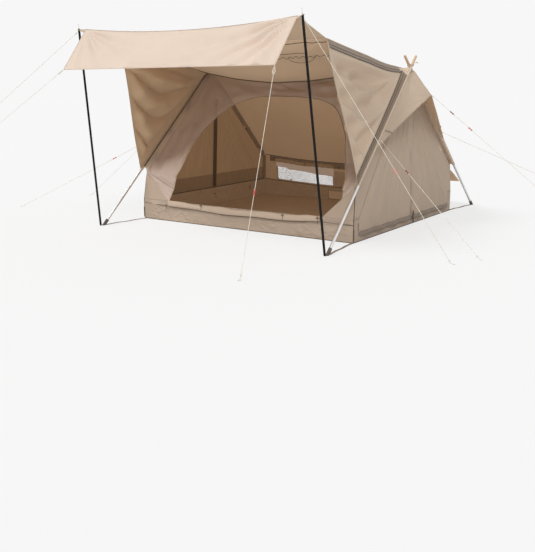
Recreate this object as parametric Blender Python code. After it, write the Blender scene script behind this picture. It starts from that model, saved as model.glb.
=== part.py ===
"""A canvas tent with its front canopy raised on two poles, its gable doors closed and its guylines pegged out.

Metres, +Z up. X runs along the ridge, the open front faces -Y, and the origin is on the ground under the
middle of the ridge. `side` is -1 at the left gable and +1 at the right one, `end` is -1 at the front and +1
at the back, and `reach` is the horizontal distance from the ridge line to the front or the back.
"""

import math

import bmesh
import bpy
from mathutils import Vector

# Crossed poles: each gable has a front and a back pole, which cross at the ridge and stand side by side
CROSSING_HEIGHT = 1.500
CROSSING_HALF_SPAN = 1.191
POLE_STAGGER = 0.014
FOOT_HALF_SPAN = 1.270
POLE_REACH = 1.619
TUBE_R = 0.0125
TUBE_BORE_R = 0.0110
TUBE_END_HEIGHT = 0.016
SPLICE_BELOW_CROSSING = 0.040
TIP_R = 0.0120
TIP_ABOVE_CROSSING = 0.130
SPIGOT_R = 0.0107
SPIGOT_LENGTH = 0.050
CAP_WALL = 0.0032
CAP_LENGTH = 0.045
LASHING_WALL = 0.0025
LASHING_HEIGHT = 0.015
SLEEVE_WALL = 0.0015
SLEEVE_CLEARANCE = 0.0005
SLEEVE_BELOW_CROSSING = 0.100

# Fits: clearances between pieces that touch on the real tent
FIT_GAP = 0.0003
SEAM_GAP = 0.0004
ROOF_TUCK = 0.0025
NET_TUCK = 0.0060

# Ridge, roof, walls and floor
CANVAS = 0.0016
NET = 0.0012
TAPE_R = 0.0035
TAPE_END = 0.009
RIDGE_SAG = 0.078
EAVE_REACH = 1.080
ROOF_BILLOW = 0.020
BACK_WALL_INSET = 0.008
WALL_SPLAY = 0.009
TUB_INSET = 0.053
TUB_HEIGHT = 0.200
GABLE_INSET = 0.0385
GUSSET_FOOT_INSET = 0.317
GUSSET_TOP_INSET = 0.017
GUSSET_TOP_FALL = 1.082
WINDOW_INNER = 0.240
WINDOW_OUTER = 1.020
WINDOW_BOTTOM = 0.212
WINDOW_TOP = 0.365
WINDOW_LAP = 0.018
WINDOW_FOOT_LAP = 0.007

# Front net and its arched doorway
NET_EAVE_REACH = 1.050
NET_EAVE_HEIGHT = 0.455
NET_SAG = 0.030
NET_MARGIN = 0.102
NET_TUCK_REACH = 0.080
ARCH_HALF_WIDTH = 0.860
ARCH_SPRING = 0.680
ARCH_CROWN = 0.235
ARCH_SQUARENESS = 2.4

# Gable doors and the hoods over them
DOOR_TOP = 1.200
DOOR_HALF_WIDTH = 1.000
DOOR_HEAD_HALF_WIDTH = 0.167
DOOR_SKIRT = 0.050
DOOR_SEAM = 0.100
DOOR_LAP = 0.015
DOOR_FLAT = 0.015
DOOR_FOLD = 0.012
DOOR_FOLDS = 4
DOOR_FOLD_WIDTH = 0.600
DOOR_COLUMNS = 16
SLIDER = (0.005, 0.011, 0.030)
SLIDER_HEIGHT = 0.220
HOOD_RIDGE_OUT = 0.035
HOOD_RIDGE_DROP = 0.045
HOOD_TIP_OUT = 0.219
HOOD_TIP_DROP = 0.267
HOOD_TOP = 1.420
HOOD_BOTTOM = 0.900
HOOD_HOLLOW = 0.030

# Canopy, its awning strip and flap, and its side wings
CANOPY_INSET = 0.071
CANOPY_SAG = 0.020
SEAM_REACH = 1.420
SEAM_HEIGHT = 1.680
FOLD_REACH = 1.840
FOLD_HEIGHT = 1.765
FOLD_CORNER_RISE = 0.055
FOLD_SETBACK = 0.0010
HEM_REACH = 2.133
HEM_HEIGHT = 1.468
HEM_INSET = 0.004
WING_TOP_REACH = 0.080
WING_FOLD = 0.010
WING_FOLDS = 2

# Back awning
BACK_AWNING_LENGTH = 0.500
BACK_AWNING_SLOPE = math.radians(27)
BACK_AWNING_INSET = 0.041
EAVE_GAP = 0.0006

# Canopy poles with their corner tabs
CANOPY_POLE_R = 0.010
CANOPY_POLE_WALL = 0.001
DRAIN_R = 0.002
CANOPY_FOOT_AHEAD = 0.041
CANOPY_TIP_OUT = 0.060
CANOPY_TIP_AHEAD = 0.028
SPIKE_R = 0.003
SPIKE_LENGTH = 0.055
TAB_WIDTH = 0.025
TAB_THICKNESS = 0.002
TAB_HOLE_R = 0.004
TAB_OVERRUN = 0.011

# Straps, guylines and tensioners
STRAP_WIDTH = 0.025
STRAP_THICKNESS = 0.002
CORD_R = 0.002
CORD_POINTS = 10
CORD_END_HEIGHT = 0.004
GUY_HEIGHT = 0.870
SPOOL_LENGTH = 0.040
SPOOL_R = 0.007
SPOOL_WAIST_R = 0.0045
SPOOL_FLANGE = 0.005
SPOOL_BORE_R = 0.0024

POLE_SIDES = 16
SPOOL_SIDES = 12
SIDE_NAMES = {-1: "left", 1: "right"}
END_NAMES = {-1: "front", 1: "back"}

# Sizes that follow from the ones above
LEAN = math.atan2(POLE_REACH, CROSSING_HEIGHT)
SLEEVE_BORE_R = TUBE_R + SLEEVE_CLEARANCE
SLEEVE_R = SLEEVE_BORE_R + SLEEVE_WALL
CAP_BORE_R = TUBE_R + FIT_GAP
CAP_R = CAP_BORE_R + CAP_WALL
RIDGE_HALF_SPAN = CROSSING_HALF_SPAN - POLE_STAGGER
RIDGE_END_HEIGHT = CROSSING_HEIGHT - (TIP_R + SEAM_GAP + TAPE_R) / math.sin(LEAN)
TUB_HALF_WIDTH = FOOT_HALF_SPAN - TUB_INSET
TUB_REACH = EAVE_REACH + WALL_SPLAY
EAVE_HEIGHT = CROSSING_HEIGHT * (1 - EAVE_REACH / POLE_REACH)
RIM = TUB_HEIGHT + SEAM_GAP
CANOPY_HALF_WIDTH = CROSSING_HALF_SPAN - CANOPY_INSET
ROOF_HANG = TAPE_R + SEAM_GAP
NET_HANG = TAPE_R + SEAM_GAP + NET / 2
LEAF_PROUD = CANVAS + SEAM_GAP


def pole_axis(side, end, height):
    """The point of a frame pole's centre line at this height."""
    rise = height / CROSSING_HEIGHT
    top = CROSSING_HALF_SPAN - end * POLE_STAGGER
    across = FOOT_HALF_SPAN + (top - FOOT_HALF_SPAN) * rise
    return Vector((side * across, end * POLE_REACH * (1 - rise), height))


def up_pole(side, end):
    return (pole_axis(side, end, CROSSING_HEIGHT) - pole_axis(side, end, 0)).normalized()


def pole_plane(reach):
    """How high the frame poles are at this reach."""
    return CROSSING_HEIGHT * (1 - reach / POLE_REACH)


def beside_sleeve(end, reach):
    """How far out a sheet runs before it meets the inner flank of a pole sleeve."""
    return pole_axis(1, end, pole_plane(reach)).x - SLEEVE_R - SEAM_GAP


def ridge_height(across):
    return RIDGE_END_HEIGHT - RIDGE_SAG * (1 - (across / RIDGE_HALF_SPAN) ** 2)


def gable_plane(height):
    """How far out the gable wall is at this height: upright beside the floor tub, then leaning in."""
    above = max(0.0, height - TUB_HEIGHT) / (CROSSING_HEIGHT - TUB_HEIGHT)
    return TUB_HALF_WIDTH + (CROSSING_HALF_SPAN - GABLE_INSET - TUB_HALF_WIDTH) * above


def between(start, stop, share):
    return start + (stop - start) * share


def shares(count):
    """The numbers from 0 to 1 in this many equal steps."""
    return [step / count for step in range(count + 1)]


def plain_material(name, colour, roughness, metallic=0.0):
    material = bpy.data.materials.new(name)
    material.use_nodes = True
    surface = material.node_tree.nodes["Principled BSDF"]
    surface.inputs["Base Color"].default_value = (*colour, 1.0)
    surface.inputs["Roughness"].default_value = roughness
    surface.inputs["Metallic"].default_value = metallic
    return material


def place_object(name, data, material, location=(0, 0, 0)):
    data.materials.append(material)
    piece = bpy.data.objects.new(name, data)
    piece.location = location
    bpy.context.scene.collection.objects.link(piece)
    return piece


def mesh_object(name, shape, material, location=(0, 0, 0)):
    data = bpy.data.meshes.new(name)
    shape.to_mesh(data)
    shape.free()
    data.shade_smooth()
    data.set_sharp_from_angle(angle=math.radians(35))
    return place_object(name, data, material, location)


def rest_place(piece):
    return piece.location + rest_place(piece.parent) if piece.parent else piece.location.copy()


def carry(parent, child):
    """Parents a piece to the unturned piece that carries it, and leaves it where it is."""
    child.location -= rest_place(parent)
    child.parent = parent


def turned(name, profile, location, along, material, sides=POLE_SIDES, hollow=False, ground=None):
    """A profile of (radius, distance) points spun about the line through `location`, cut off at `ground`."""
    shape = bmesh.new()
    corners = [shape.verts.new((radius, 0, distance)) for radius, distance in profile]
    pairs = list(zip(corners, corners[1:]))
    if hollow:
        pairs.append((corners[-1], corners[0]))
    edges = [shape.edges.new(pair) for pair in pairs]
    bmesh.ops.spin(shape, geom=corners + edges, axis=(0, 0, 1), cent=(0, 0, 0), steps=sides, angle=math.tau)
    bmesh.ops.remove_doubles(shape, verts=shape.verts, dist=1e-6)
    bmesh.ops.recalc_face_normals(shape, faces=shape.faces)
    turn = along.to_track_quat("Z", "Y")
    if ground is not None:
        level = turn.inverted() @ Vector((0, 0, 1))
        everything = shape.verts[:] + shape.edges[:] + shape.faces[:]
        cut = level * (ground - location[2])
        bmesh.ops.bisect_plane(shape, geom=everything, plane_co=cut, plane_no=level, clear_inner=True)
        bmesh.ops.holes_fill(shape, edges=[edge for edge in shape.edges if edge.is_boundary])
    piece = mesh_object(name, shape, material, location)
    piece.rotation_euler = turn.to_euler()
    return piece


def cloth(name, across, along, place, material, thickness=CANVAS, pivot=(0, 0, 0), cut_out=None):
    """A sheet of even thickness whose middle surface is `place` of each pair of stops."""
    columns, rows = len(across) - 1, len(along) - 1
    shape = bmesh.new()
    bmesh.ops.create_grid(shape, x_segments=columns, y_segments=rows, size=0.5)
    corner = max(vert.co.x for vert in shape.verts)
    for vert in shape.verts:
        column = round((vert.co.x / corner + 1) / 2 * columns)
        row = round((vert.co.y / corner + 1) / 2 * rows)
        vert.co = Vector(place(across[column], along[row])) - Vector(pivot)
    if cut_out:
        gone = [face for face in shape.faces if cut_out(face.calc_center_median())]
        bmesh.ops.delete(shape, geom=gone, context="FACES")
    piece = mesh_object(name, shape, material, pivot)
    thicken(piece, thickness)
    return piece


def thicken(piece, thickness):
    solid = piece.modifiers.new("thickness", "SOLIDIFY")
    solid.thickness = thickness
    solid.offset = 0
    solid.use_even_offset = True


for old in list(bpy.data.objects):
    bpy.data.objects.remove(old)

canvas_beige = plain_material("canvas beige", (0.52, 0.40, 0.27), 0.9)
canvas_light = plain_material("canvas light", (0.80, 0.66, 0.52), 0.9)
floor_cloth = plain_material("floor cloth", (0.40, 0.31, 0.21), 0.7)
net_brown = plain_material("net brown", (0.22, 0.15, 0.10), 0.9)
webbing = plain_material("webbing", (0.60, 0.50, 0.38), 0.8)
cord_cream = plain_material("cord cream", (0.75, 0.66, 0.50), 0.8)
bare_aluminium = plain_material("bare aluminium", (0.72, 0.72, 0.72), 0.35, 1.0)
black_paint = plain_material("black paint", (0.02, 0.02, 0.02), 0.4)
pale_wood = plain_material("pale wood", (0.66, 0.45, 0.24), 0.6)
black_rubber = plain_material("black rubber", (0.03, 0.03, 0.03), 0.8)
red_plastic = plain_material("red plastic", (0.62, 0.06, 0.10), 0.4)
zip_metal = plain_material("zip metal", (0.35, 0.31, 0.26), 0.4, 1.0)


# Frame poles: an aluminium tube in a rubber foot cap, with a wooden tip plugged into its top
def frame_pole(side, end):
    where = f"{END_NAMES[end]}_{SIDE_NAMES[side]}"
    up = up_pole(side, end)
    foot = pole_axis(side, end, TUBE_END_HEIGHT)
    crossing = pole_axis(side, end, CROSSING_HEIGHT)
    tube_length = (crossing - foot).length - SPLICE_BELOW_CROSSING
    tube = [(TUBE_BORE_R, 0), (TUBE_R, 0), (TUBE_R, tube_length), (TUBE_BORE_R, tube_length)]
    turned(f"frame_pole_{where}", tube, foot, up, bare_aluminium, hollow=True)

    tip_length = SPLICE_BELOW_CROSSING + TIP_ABOVE_CROSSING
    bullnose = [
        (TIP_R * math.cos(turn), tip_length + TIP_R * (math.sin(turn) - 1))
        for turn in (0, math.pi / 6, math.pi / 3)
    ]
    tip = [(0, -SPIGOT_LENGTH), (SPIGOT_R, -SPIGOT_LENGTH), (SPIGOT_R, FIT_GAP), (TIP_R, FIT_GAP)]
    tip += bullnose + [(0, tip_length)]
    turned(f"pole_tip_{where}", tip, foot + up * tube_length, up, pale_wood)

    below_ground = 2 * CAP_R
    seat = TUBE_END_HEIGHT / up.z
    top = seat + CAP_LENGTH
    cap = [(0, -below_ground), (CAP_R, -below_ground), (CAP_R, top), (CAP_BORE_R, top)]
    cap += [(CAP_BORE_R, seat - FIT_GAP), (0, seat - FIT_GAP)]
    turned(f"foot_cap_{where}", cap, pole_axis(side, end, 0), up, black_rubber, ground=0.0)


# Pole sleeves: the canvas tunnels of the roof edges that the poles slide through
def pole_sleeve(side, end):
    top = pole_axis(side, end, CROSSING_HEIGHT - SLEEVE_BELOW_CROSSING)
    bottom = pole_axis(side, end, EAVE_HEIGHT)
    length = (top - bottom).length
    tunnel = [(SLEEVE_BORE_R, 0), (SLEEVE_R, 0), (SLEEVE_R, length), (SLEEVE_BORE_R, length)]
    name = f"pole_sleeve_{END_NAMES[end]}_{SIDE_NAMES[side]}"
    turned(name, tunnel, bottom, up_pole(side, end), canvas_beige, hollow=True)


# Apex lashings: a webbing loop round both wooden tips where they cross
def lashing_bore():
    """The radius that clears both leaning tips at the top and bottom of the loop."""
    sway = LASHING_HEIGHT / 2 * math.tan(LEAN)
    corners = (math.radians(5 * step) for step in range(19))
    return max(
        math.hypot(POLE_STAGGER + TIP_R * math.cos(turn), sway + TIP_R / math.cos(LEAN) * math.sin(turn))
        for turn in corners
    )


def apex_lashing(side):
    bore = (lashing_bore() + SEAM_GAP) / math.cos(math.pi / POLE_SIDES)
    loop = [(bore, 0), (bore + LASHING_WALL, 0), (bore + LASHING_WALL, LASHING_HEIGHT), (bore, LASHING_HEIGHT)]
    low = Vector((side * CROSSING_HALF_SPAN, 0, CROSSING_HEIGHT - LASHING_HEIGHT / 2))
    turned(f"apex_lashing_{SIDE_NAMES[side]}", loop, low, Vector((0, 0, 1)), webbing, hollow=True)


for side in SIDE_NAMES:
    apex_lashing(side)
    for end in END_NAMES:
        frame_pole(side, end)
        pole_sleeve(side, end)


# Cords: round tubes along a smooth route
def cord(name, start, stop, radius, material, pivot=(0, 0, 0), points=CORD_POINTS, route=between):
    curve = bpy.data.curves.new(name, "CURVE")
    curve.dimensions = "3D"
    curve.bevel_depth = radius
    curve.bevel_resolution = 2
    curve.use_fill_caps = True
    spline = curve.splines.new("POLY")
    spline.points.add(points - 1)
    for point, share in zip(spline.points, shares(points - 1)):
        point.co = (*(route(start, stop, share) - Vector(pivot)), 1.0)
    return place_object(name, curve, material, pivot)


# Ridge tape: the rolled seam along the ridge, slung between the two crossings and sagging in the middle
def along_ridge(start, stop, share):
    across = between(start.x, stop.x, share)
    return Vector((across, 0, ridge_height(across)))


tape_end = Vector((RIDGE_HALF_SPAN + TAPE_END, 0, 0))
cord("ridge_tape", -tape_end, tape_end, TAPE_R, webbing, points=49, route=along_ridge)


# Back roof: one sheet from the ridge tape to the eave, between the two back sleeves
def roof_height(across, reach):
    start = ROOF_HANG * math.sin(LEAN)
    hang = ROOF_HANG * math.cos(LEAN)
    down = (reach - start) / (EAVE_REACH - start)
    edge = beside_sleeve(1, start)
    spread = across / beside_sleeve(1, reach)
    corner_drop = pole_plane(start) - (ridge_height(edge) - hang)
    ridge_dip = ridge_height(edge) - ridge_height(spread * edge)
    billow = ROOF_BILLOW * 4 * down * (1 - down) * (1 - spread**2)
    return pole_plane(reach) - corner_drop * (1 - down) ** 6 - ridge_dip * (1 - down) - billow


def back_roof_point(spread, down):
    reach = between(ROOF_HANG * math.sin(LEAN), EAVE_REACH, down)
    across = spread * beside_sleeve(1, reach)
    return across, reach, roof_height(across, reach)


balanced = [2 * share - 1 for share in shares(16)]
cloth("back_roof", balanced, [0, 0.04, 0.12, 0.25, 0.5, 0.75, 0.93, 1], back_roof_point, canvas_beige)


# Back awning: a strip hinged to the back eave
def back_awning_point(spread, share):
    out = SEAM_GAP + share * BACK_AWNING_LENGTH
    half_width = CROSSING_HALF_SPAN - BACK_AWNING_INSET
    reach = back_awning_hinge.y + out * math.cos(BACK_AWNING_SLOPE)
    return spread * half_width, reach, back_awning_hinge.z - out * math.sin(BACK_AWNING_SLOPE)


back_awning_hinge = Vector((0, EAVE_REACH + EAVE_GAP, EAVE_HEIGHT))
cloth("back_awning", [-1, -0.5, 0, 0.5, 1], [0, 0.5, 1], back_awning_point, canvas_beige, pivot=back_awning_hinge)


# Front net: hangs under the ridge tape, runs down between the front sleeves, and drops to the tub as a wall
def net_point(across, fall):
    """`fall` is 0 at the ridge, 1 at the inner eave and 2 on the rim of the tub."""
    slope = min(fall, 1.0)
    reach = slope * NET_EAVE_REACH
    top = ridge_height(across) - NET_HANG
    height = between(top, NET_EAVE_HEIGHT, slope) - NET_SAG * 4 * slope * (1 - slope)
    edge = beside_sleeve(-1, reach)
    margin = max(0.0, (abs(across) - edge + NET_MARGIN) / NET_MARGIN)
    lifted = min(1.0, margin) * min(1.0, reach / NET_TUCK_REACH)
    height = between(height, pole_plane(reach), lifted)
    wall = max(0.0, fall - 1.0)
    return Vector((across, -between(reach, TUB_REACH, wall), between(height, RIM, wall)))


def gusset_top(side):
    point = net_point(TUB_HALF_WIDTH - GUSSET_TOP_INSET, GUSSET_TOP_FALL)
    return Vector((side * point.x, point.y, point.z))


def gusset_foot(side):
    return Vector((side * (TUB_HALF_WIDTH - GUSSET_FOOT_INSET), -TUB_REACH, TUB_HEIGHT))


def arch(turn):
    """The round top of the doorway, from a springing at 0 to the crown at 1, as (across, fall)."""
    power = 2 / ARCH_SQUARENESS
    across = ARCH_HALF_WIDTH * abs(math.cos(turn * math.pi / 2)) ** power
    reach = between(ARCH_SPRING, ARCH_CROWN, math.sin(turn * math.pi / 2) ** power)
    return across, reach / NET_EAVE_REACH


def net_stations():
    """Pairs of an outer and an inner point of the net's right half, from the door jamb up to the ridge."""
    clear = Vector((-NET / 2, 0, SEAM_GAP))
    found = []
    for share in shares(3):
        outer = between(gusset_foot(1), gusset_top(1), share) + clear
        # The rows beside a gusset end halfway up the jamb, so none of them crosses the eave.
        inner = net_point(ARCH_HALF_WIDTH, between(2.0, 1.5, share))
        found.append((outer, inner))
    sleeve_falls = (1.0, 0.87, 0.74, 0.6, 0.46, 0.32, 0.18, 0.06)
    outline = [(beside_sleeve(-1, fall * NET_EAVE_REACH), fall) for fall in sleeve_falls]
    outline += [(RIDGE_HALF_SPAN * share, 0.0) for share in reversed(shares(8))]
    spring = ARCH_SPRING / NET_EAVE_REACH
    doorway = [(ARCH_HALF_WIDTH, between(1.0, spring, share)) for share in shares(3)]
    doorway += [arch(turn) for turn in shares(len(outline) - len(doorway))[1:]]
    return found + list(zip(outline, doorway))


def front_net_point(stop, share):
    side, (outer, inner) = stop
    if isinstance(outer, Vector):
        point = between(inner, outer, share)
    else:
        point = net_point(*(between(a, b, share) for a, b in zip(inner, outer)))
    return side * point.x, point.y, point.z


stations = net_stations()
round_doorway = [(-1, station) for station in stations] + [(1, station) for station in stations[-2::-1]]
cloth("front_mesh", round_doorway, [0, 0.33, 0.66, 0.88, 1], front_net_point, net_brown, NET)


# Back wall: from the tub's rim to the underside of the roof, with two window openings
def back_wall_top(across):
    """Where the wall's outer face meets the underside of the roof."""
    outer_face = EAVE_REACH - BACK_WALL_INSET + CANVAS / 2
    return roof_height(across, outer_face) - CANVAS / 2 / math.sin(LEAN) - SEAM_GAP


def back_wall_reach(height):
    return between(TUB_REACH, EAVE_REACH - BACK_WALL_INSET, (height - RIM) / (EAVE_HEIGHT - RIM))


def inside_gable(height):
    return gable_plane(height) - CANVAS / 2 - SEAM_GAP


def back_wall_point(across, height):
    height = min(height, back_wall_top(across))
    edge = inside_gable(height)
    return max(-edge, min(edge, across)), back_wall_reach(height), height


def in_window(centre):
    return WINDOW_INNER < abs(centre.x) < WINDOW_OUTER and WINDOW_BOTTOM < centre.z < WINDOW_TOP


def window_mesh_point(across, height):
    return across, back_wall_reach(height) - CANVAS / 2 - SEAM_GAP - NET / 2, height


wall_stops = [TUB_HALF_WIDTH, WINDOW_OUTER, WINDOW_INNER]
wall_stops = [-stop for stop in wall_stops] + wall_stops[::-1]
wall_rows = [RIM, WINDOW_BOTTOM, WINDOW_TOP, CROSSING_HEIGHT]
cloth("back_wall", wall_stops, wall_rows, back_wall_point, canvas_beige, cut_out=in_window)
mesh_stops = [-WINDOW_OUTER - WINDOW_LAP, WINDOW_OUTER + WINDOW_LAP]
mesh_rows = [WINDOW_BOTTOM - WINDOW_FOOT_LAP, WINDOW_TOP + WINDOW_LAP]
cloth("window_mesh", mesh_stops, mesh_rows, window_mesh_point, net_brown, NET)


# Floor tub: the floor and its low walls in one, with a corner gusset beside each side of the front net
def tub_floor():
    shape = bmesh.new()
    bmesh.ops.create_cube(shape, size=1)
    floor = CANVAS / 2
    for vert in shape.verts:
        vert.co.x *= 2 * TUB_HALF_WIDTH
        vert.co.y *= 2 * TUB_REACH
        vert.co.z = TUB_HEIGHT if vert.co.z > 0 else floor
    lid = [face for face in shape.faces if face.calc_center_median().z > TUB_HEIGHT - floor]
    bmesh.ops.delete(shape, geom=lid, context="FACES")
    for side in SIDE_NAMES:
        foot, top = gusset_foot(side), gusset_top(side)
        everything = shape.verts[:] + shape.edges[:] + shape.faces[:]
        bmesh.ops.bisect_plane(shape, geom=everything, plane_co=foot, plane_no=(1, 0, 0))
        corner = Vector((side * TUB_HALF_WIDTH, -TUB_REACH, TUB_HEIGHT))
        base = [min(shape.verts, key=lambda vert: (vert.co - place).length) for place in (foot, corner)]
        shape.faces.new(base + [shape.verts.new(top)])
    bmesh.ops.recalc_face_normals(shape, faces=shape.faces)
    piece = mesh_object("tub_floor", shape, floor_cloth)
    thicken(piece, CANVAS)


tub_floor()


# Gables: a canvas frame round each door opening, from the tub's rim to the net, the apex and the roof
def door_edge(height):
    """How far from the middle of the gable a door's sloping hinge line is."""
    rise = max(0.0, height - TUB_HEIGHT) / (DOOR_TOP - TUB_HEIGHT)
    return between(DOOR_HALF_WIDTH, DOOR_HEAD_HALF_WIDTH, rise)


def door_slant():
    return math.atan2(DOOR_TOP - TUB_HEIGHT, DOOR_HALF_WIDTH - DOOR_HEAD_HALF_WIDTH)


def gable_edge(follow, reach, under):
    """Where the gable ends under the net or the roof: the height settles with the gable's lean."""
    height = pole_plane(reach)
    for _ in range(4):
        height = follow(gable_plane(height), reach) - under
    return height


def net_height(across, reach):
    return net_point(across, reach / NET_EAVE_REACH).z


def ridge_line(across, _):
    return ridge_height(across)


def gable_outline(end):
    """The gable's outer corners as (reach, height), from the tub's rim up to the apex."""
    if end < 0:
        tuck = NET / 2 + CANVAS / 2 + FIT_GAP
        top = gusset_top(1)
        foot = [(TUB_REACH - tuck, RIM), (-top.y - tuck, top.z)]
        follow, under, eave = net_height, NET_TUCK, NET_EAVE_REACH
    else:
        tuck = 0.0
        foot = [(TUB_REACH, RIM), (back_wall_reach(between(RIM, EAVE_HEIGHT, 0.5)), between(RIM, EAVE_HEIGHT, 0.5))]
        follow, under, eave = roof_height, ROOF_TUCK, EAVE_REACH - BACK_WALL_INSET
    slope = [eave * share for share in (1, 0.85, 0.7, 0.55, 0.4, 0.26, 0.12)]
    return foot + [(reach - tuck, gable_edge(follow, reach, under)) for reach in slope]


def gable_stations(end):
    """Pairs of an outer and an inner point as (y, height), from the tub's rim up to the door's head."""
    head = DOOR_TOP - DOOR_LAP
    lap = DOOR_LAP / math.sin(door_slant())
    outline = gable_outline(end)
    shoulder = outline[-2][1]
    found = []
    for reach, height in outline:
        inner_height = min(head, between(RIM, head, (height - RIM) / (shoulder - RIM)))
        inner_reach = door_edge(inner_height) - lap
        if height > shoulder:
            inner_reach /= 2
        found.append(((end * reach, height), (end * inner_reach, inner_height)))
    return found


def gable(side):
    apex_height = gable_edge(ridge_line, 0.0, NET_HANG + ROOF_TUCK)
    apex = ((0.0, apex_height), (0.0, DOOR_TOP - DOOR_LAP))
    stops = gable_stations(-1) + [apex] + gable_stations(1)[::-1]

    def point(stop, share):
        outer, inner = stop
        reach, height = (between(a, b, share) for a, b in zip(inner, outer))
        return side * gable_plane(height), reach, height

    cloth(f"gable_{SIDE_NAMES[side]}", stops, [0, 0.5, 1], point, canvas_beige)


# Door leaves: two to a gable, each sewn along its sloping outer edge and zipped to the other in the middle
def door_leaf(side, end):
    hinge = Vector((side * (gable_plane(TUB_HEIGHT) + CANVAS / 2 + SEAM_GAP), end * DOOR_HALF_WIDTH, TUB_HEIGHT))
    seam = DOOR_SEAM + end * SEAM_GAP / 2

    def point(column, height):
        edge = end * door_edge(height)
        last_fold = seam + end * DOOR_FLAT
        share = column / DOOR_COLUMNS
        depth = DOOR_FOLD * min(1.0, abs(last_fold - edge) / DOOR_FOLD_WIDTH)
        fold = depth * math.sin(math.pi * DOOR_FOLDS * share) ** 2 if share < 1 else 0.0
        across = between(edge, last_fold, share) if share <= 1 else seam
        return side * (gable_plane(height) + LEAF_PROUD + fold), across, height

    rows = [DOOR_SKIRT, TUB_HEIGHT, 0.45, 0.70, 0.95, DOOR_TOP]
    columns = range(DOOR_COLUMNS + 2)
    name = f"door_leaf_{SIDE_NAMES[side]}_{END_NAMES[end]}"
    return cloth(name, columns, rows, point, canvas_beige, pivot=hinge)


# Hoods: a small awning over each pair of doors, sewn to the outer flanks of the pole sleeves
def hood(side):
    ridge = Vector((side * (CROSSING_HALF_SPAN + HOOD_RIDGE_OUT), 0, CROSSING_HEIGHT - HOOD_RIDGE_DROP))

    def point(spread, down):
        end = -1 if spread < 0 else 1
        height = between(HOOD_TOP, HOOD_BOTTOM, down)
        flank = pole_axis(side, end, height)
        flank.x += side * (SLEEVE_R + SEAM_GAP + CANVAS / 2)
        across = between(between(ridge, hood_tip(side), down), flank, abs(spread))
        across.z += HOOD_HOLLOW * down * 4 * abs(spread) * (1 - abs(spread))
        return across

    spreads = [-1, -0.75, -0.5, -0.25, 0, 0.25, 0.5, 0.75, 1]
    cloth(f"gable_hood_{SIDE_NAMES[side]}", spreads, [0, 0.33, 0.67, 1], point, canvas_beige)


def hood_tip(side):
    return Vector((side * (CROSSING_HALF_SPAN + HOOD_TIP_OUT), 0, CROSSING_HEIGHT - HOOD_TIP_DROP))


def zip_slider(leaf):
    """The zip's slider, flat on the front leaf beside the middle seam and leaning with the gable."""
    depth, width, height = SLIDER
    out = gable_plane(SLIDER_HEIGHT) + LEAF_PROUD + CANVAS / 2 + SEAM_GAP + depth / 2
    shape = bmesh.new()
    bmesh.ops.create_cube(shape, size=1)
    bmesh.ops.scale(shape, vec=SLIDER, verts=shape.verts)
    bmesh.ops.bevel(shape, geom=shape.edges[:], offset=depth / 5, affect="EDGES", segments=2, profile=0.5)
    across = DOOR_SEAM - DOOR_FLAT / 2
    piece = mesh_object("zip_slider", shape, zip_metal, (out, across, SLIDER_HEIGHT))
    step = 0.1
    lean = gable_plane(DOOR_TOP) - gable_plane(DOOR_TOP - step)
    piece.rotation_euler.y = math.atan2(lean, step)
    carry(leaf, piece)


for side in SIDE_NAMES:
    gable(side)
    hood(side)
    leaves = [door_leaf(side, end) for end in END_NAMES]
zip_slider(leaves[0])


# Canopy: the front roof sheet, its upturned awning strip and its folding flap, sewn to each other in turn
def canopy_point(spread, out):
    across = spread * CANOPY_HALF_WIDTH
    climb = math.atan2(SEAM_HEIGHT - ridge_height(across), SEAM_REACH)
    start = Vector((across, -ROOF_HANG * math.cos(climb), ridge_height(across) + ROOF_HANG * math.sin(climb)))
    stop = Vector((across, SEAM_GAP / 2 - SEAM_REACH, SEAM_HEIGHT))
    point = between(start, stop, out)
    point.z -= CANOPY_SAG * 4 * out * (1 - out) * (1 - spread**2 / 2)
    return point


def fold_line(spread):
    return Vector((spread * CANOPY_HALF_WIDTH, -FOLD_REACH, FOLD_HEIGHT + FOLD_CORNER_RISE * spread**2))


def front_awning_point(spread, out):
    start = Vector((spread * CANOPY_HALF_WIDTH, -SEAM_REACH - SEAM_GAP / 2, SEAM_HEIGHT))
    stop = fold_line(spread)
    return between(start, stop + (start - stop).normalized() * FOLD_SETBACK, out)


def hem(spread):
    return Vector((spread * (CANOPY_HALF_WIDTH - HEM_INSET), -HEM_REACH, HEM_HEIGHT))


def canopy_flap_point(spread, down):
    start = fold_line(spread)
    return between(start + (hem(spread) - start).normalized() * FOLD_SETBACK, hem(spread), down)


canopy_hinge = Vector((0, 0, ridge_height(0)))
awning_hinge = Vector((0, -SEAM_REACH, SEAM_HEIGHT))
flap_hinge = Vector((0, -FOLD_REACH, FOLD_HEIGHT - CANVAS / 2))
canopy_rows = [0, 0.1, 0.3, 0.5, 0.75, 1]
canopy = cloth("canopy_panel", balanced, canopy_rows, canopy_point, canvas_light, pivot=canopy_hinge)
awning = cloth("front_awning", balanced[::2], [0, 0.5, 1], front_awning_point, canvas_light, pivot=awning_hinge)
flap = cloth("canopy_flap", balanced[::2], [0, 0.5, 1], canopy_flap_point, canvas_beige, pivot=flap_hinge)
carry(awning, flap)
carry(canopy, awning)


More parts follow.
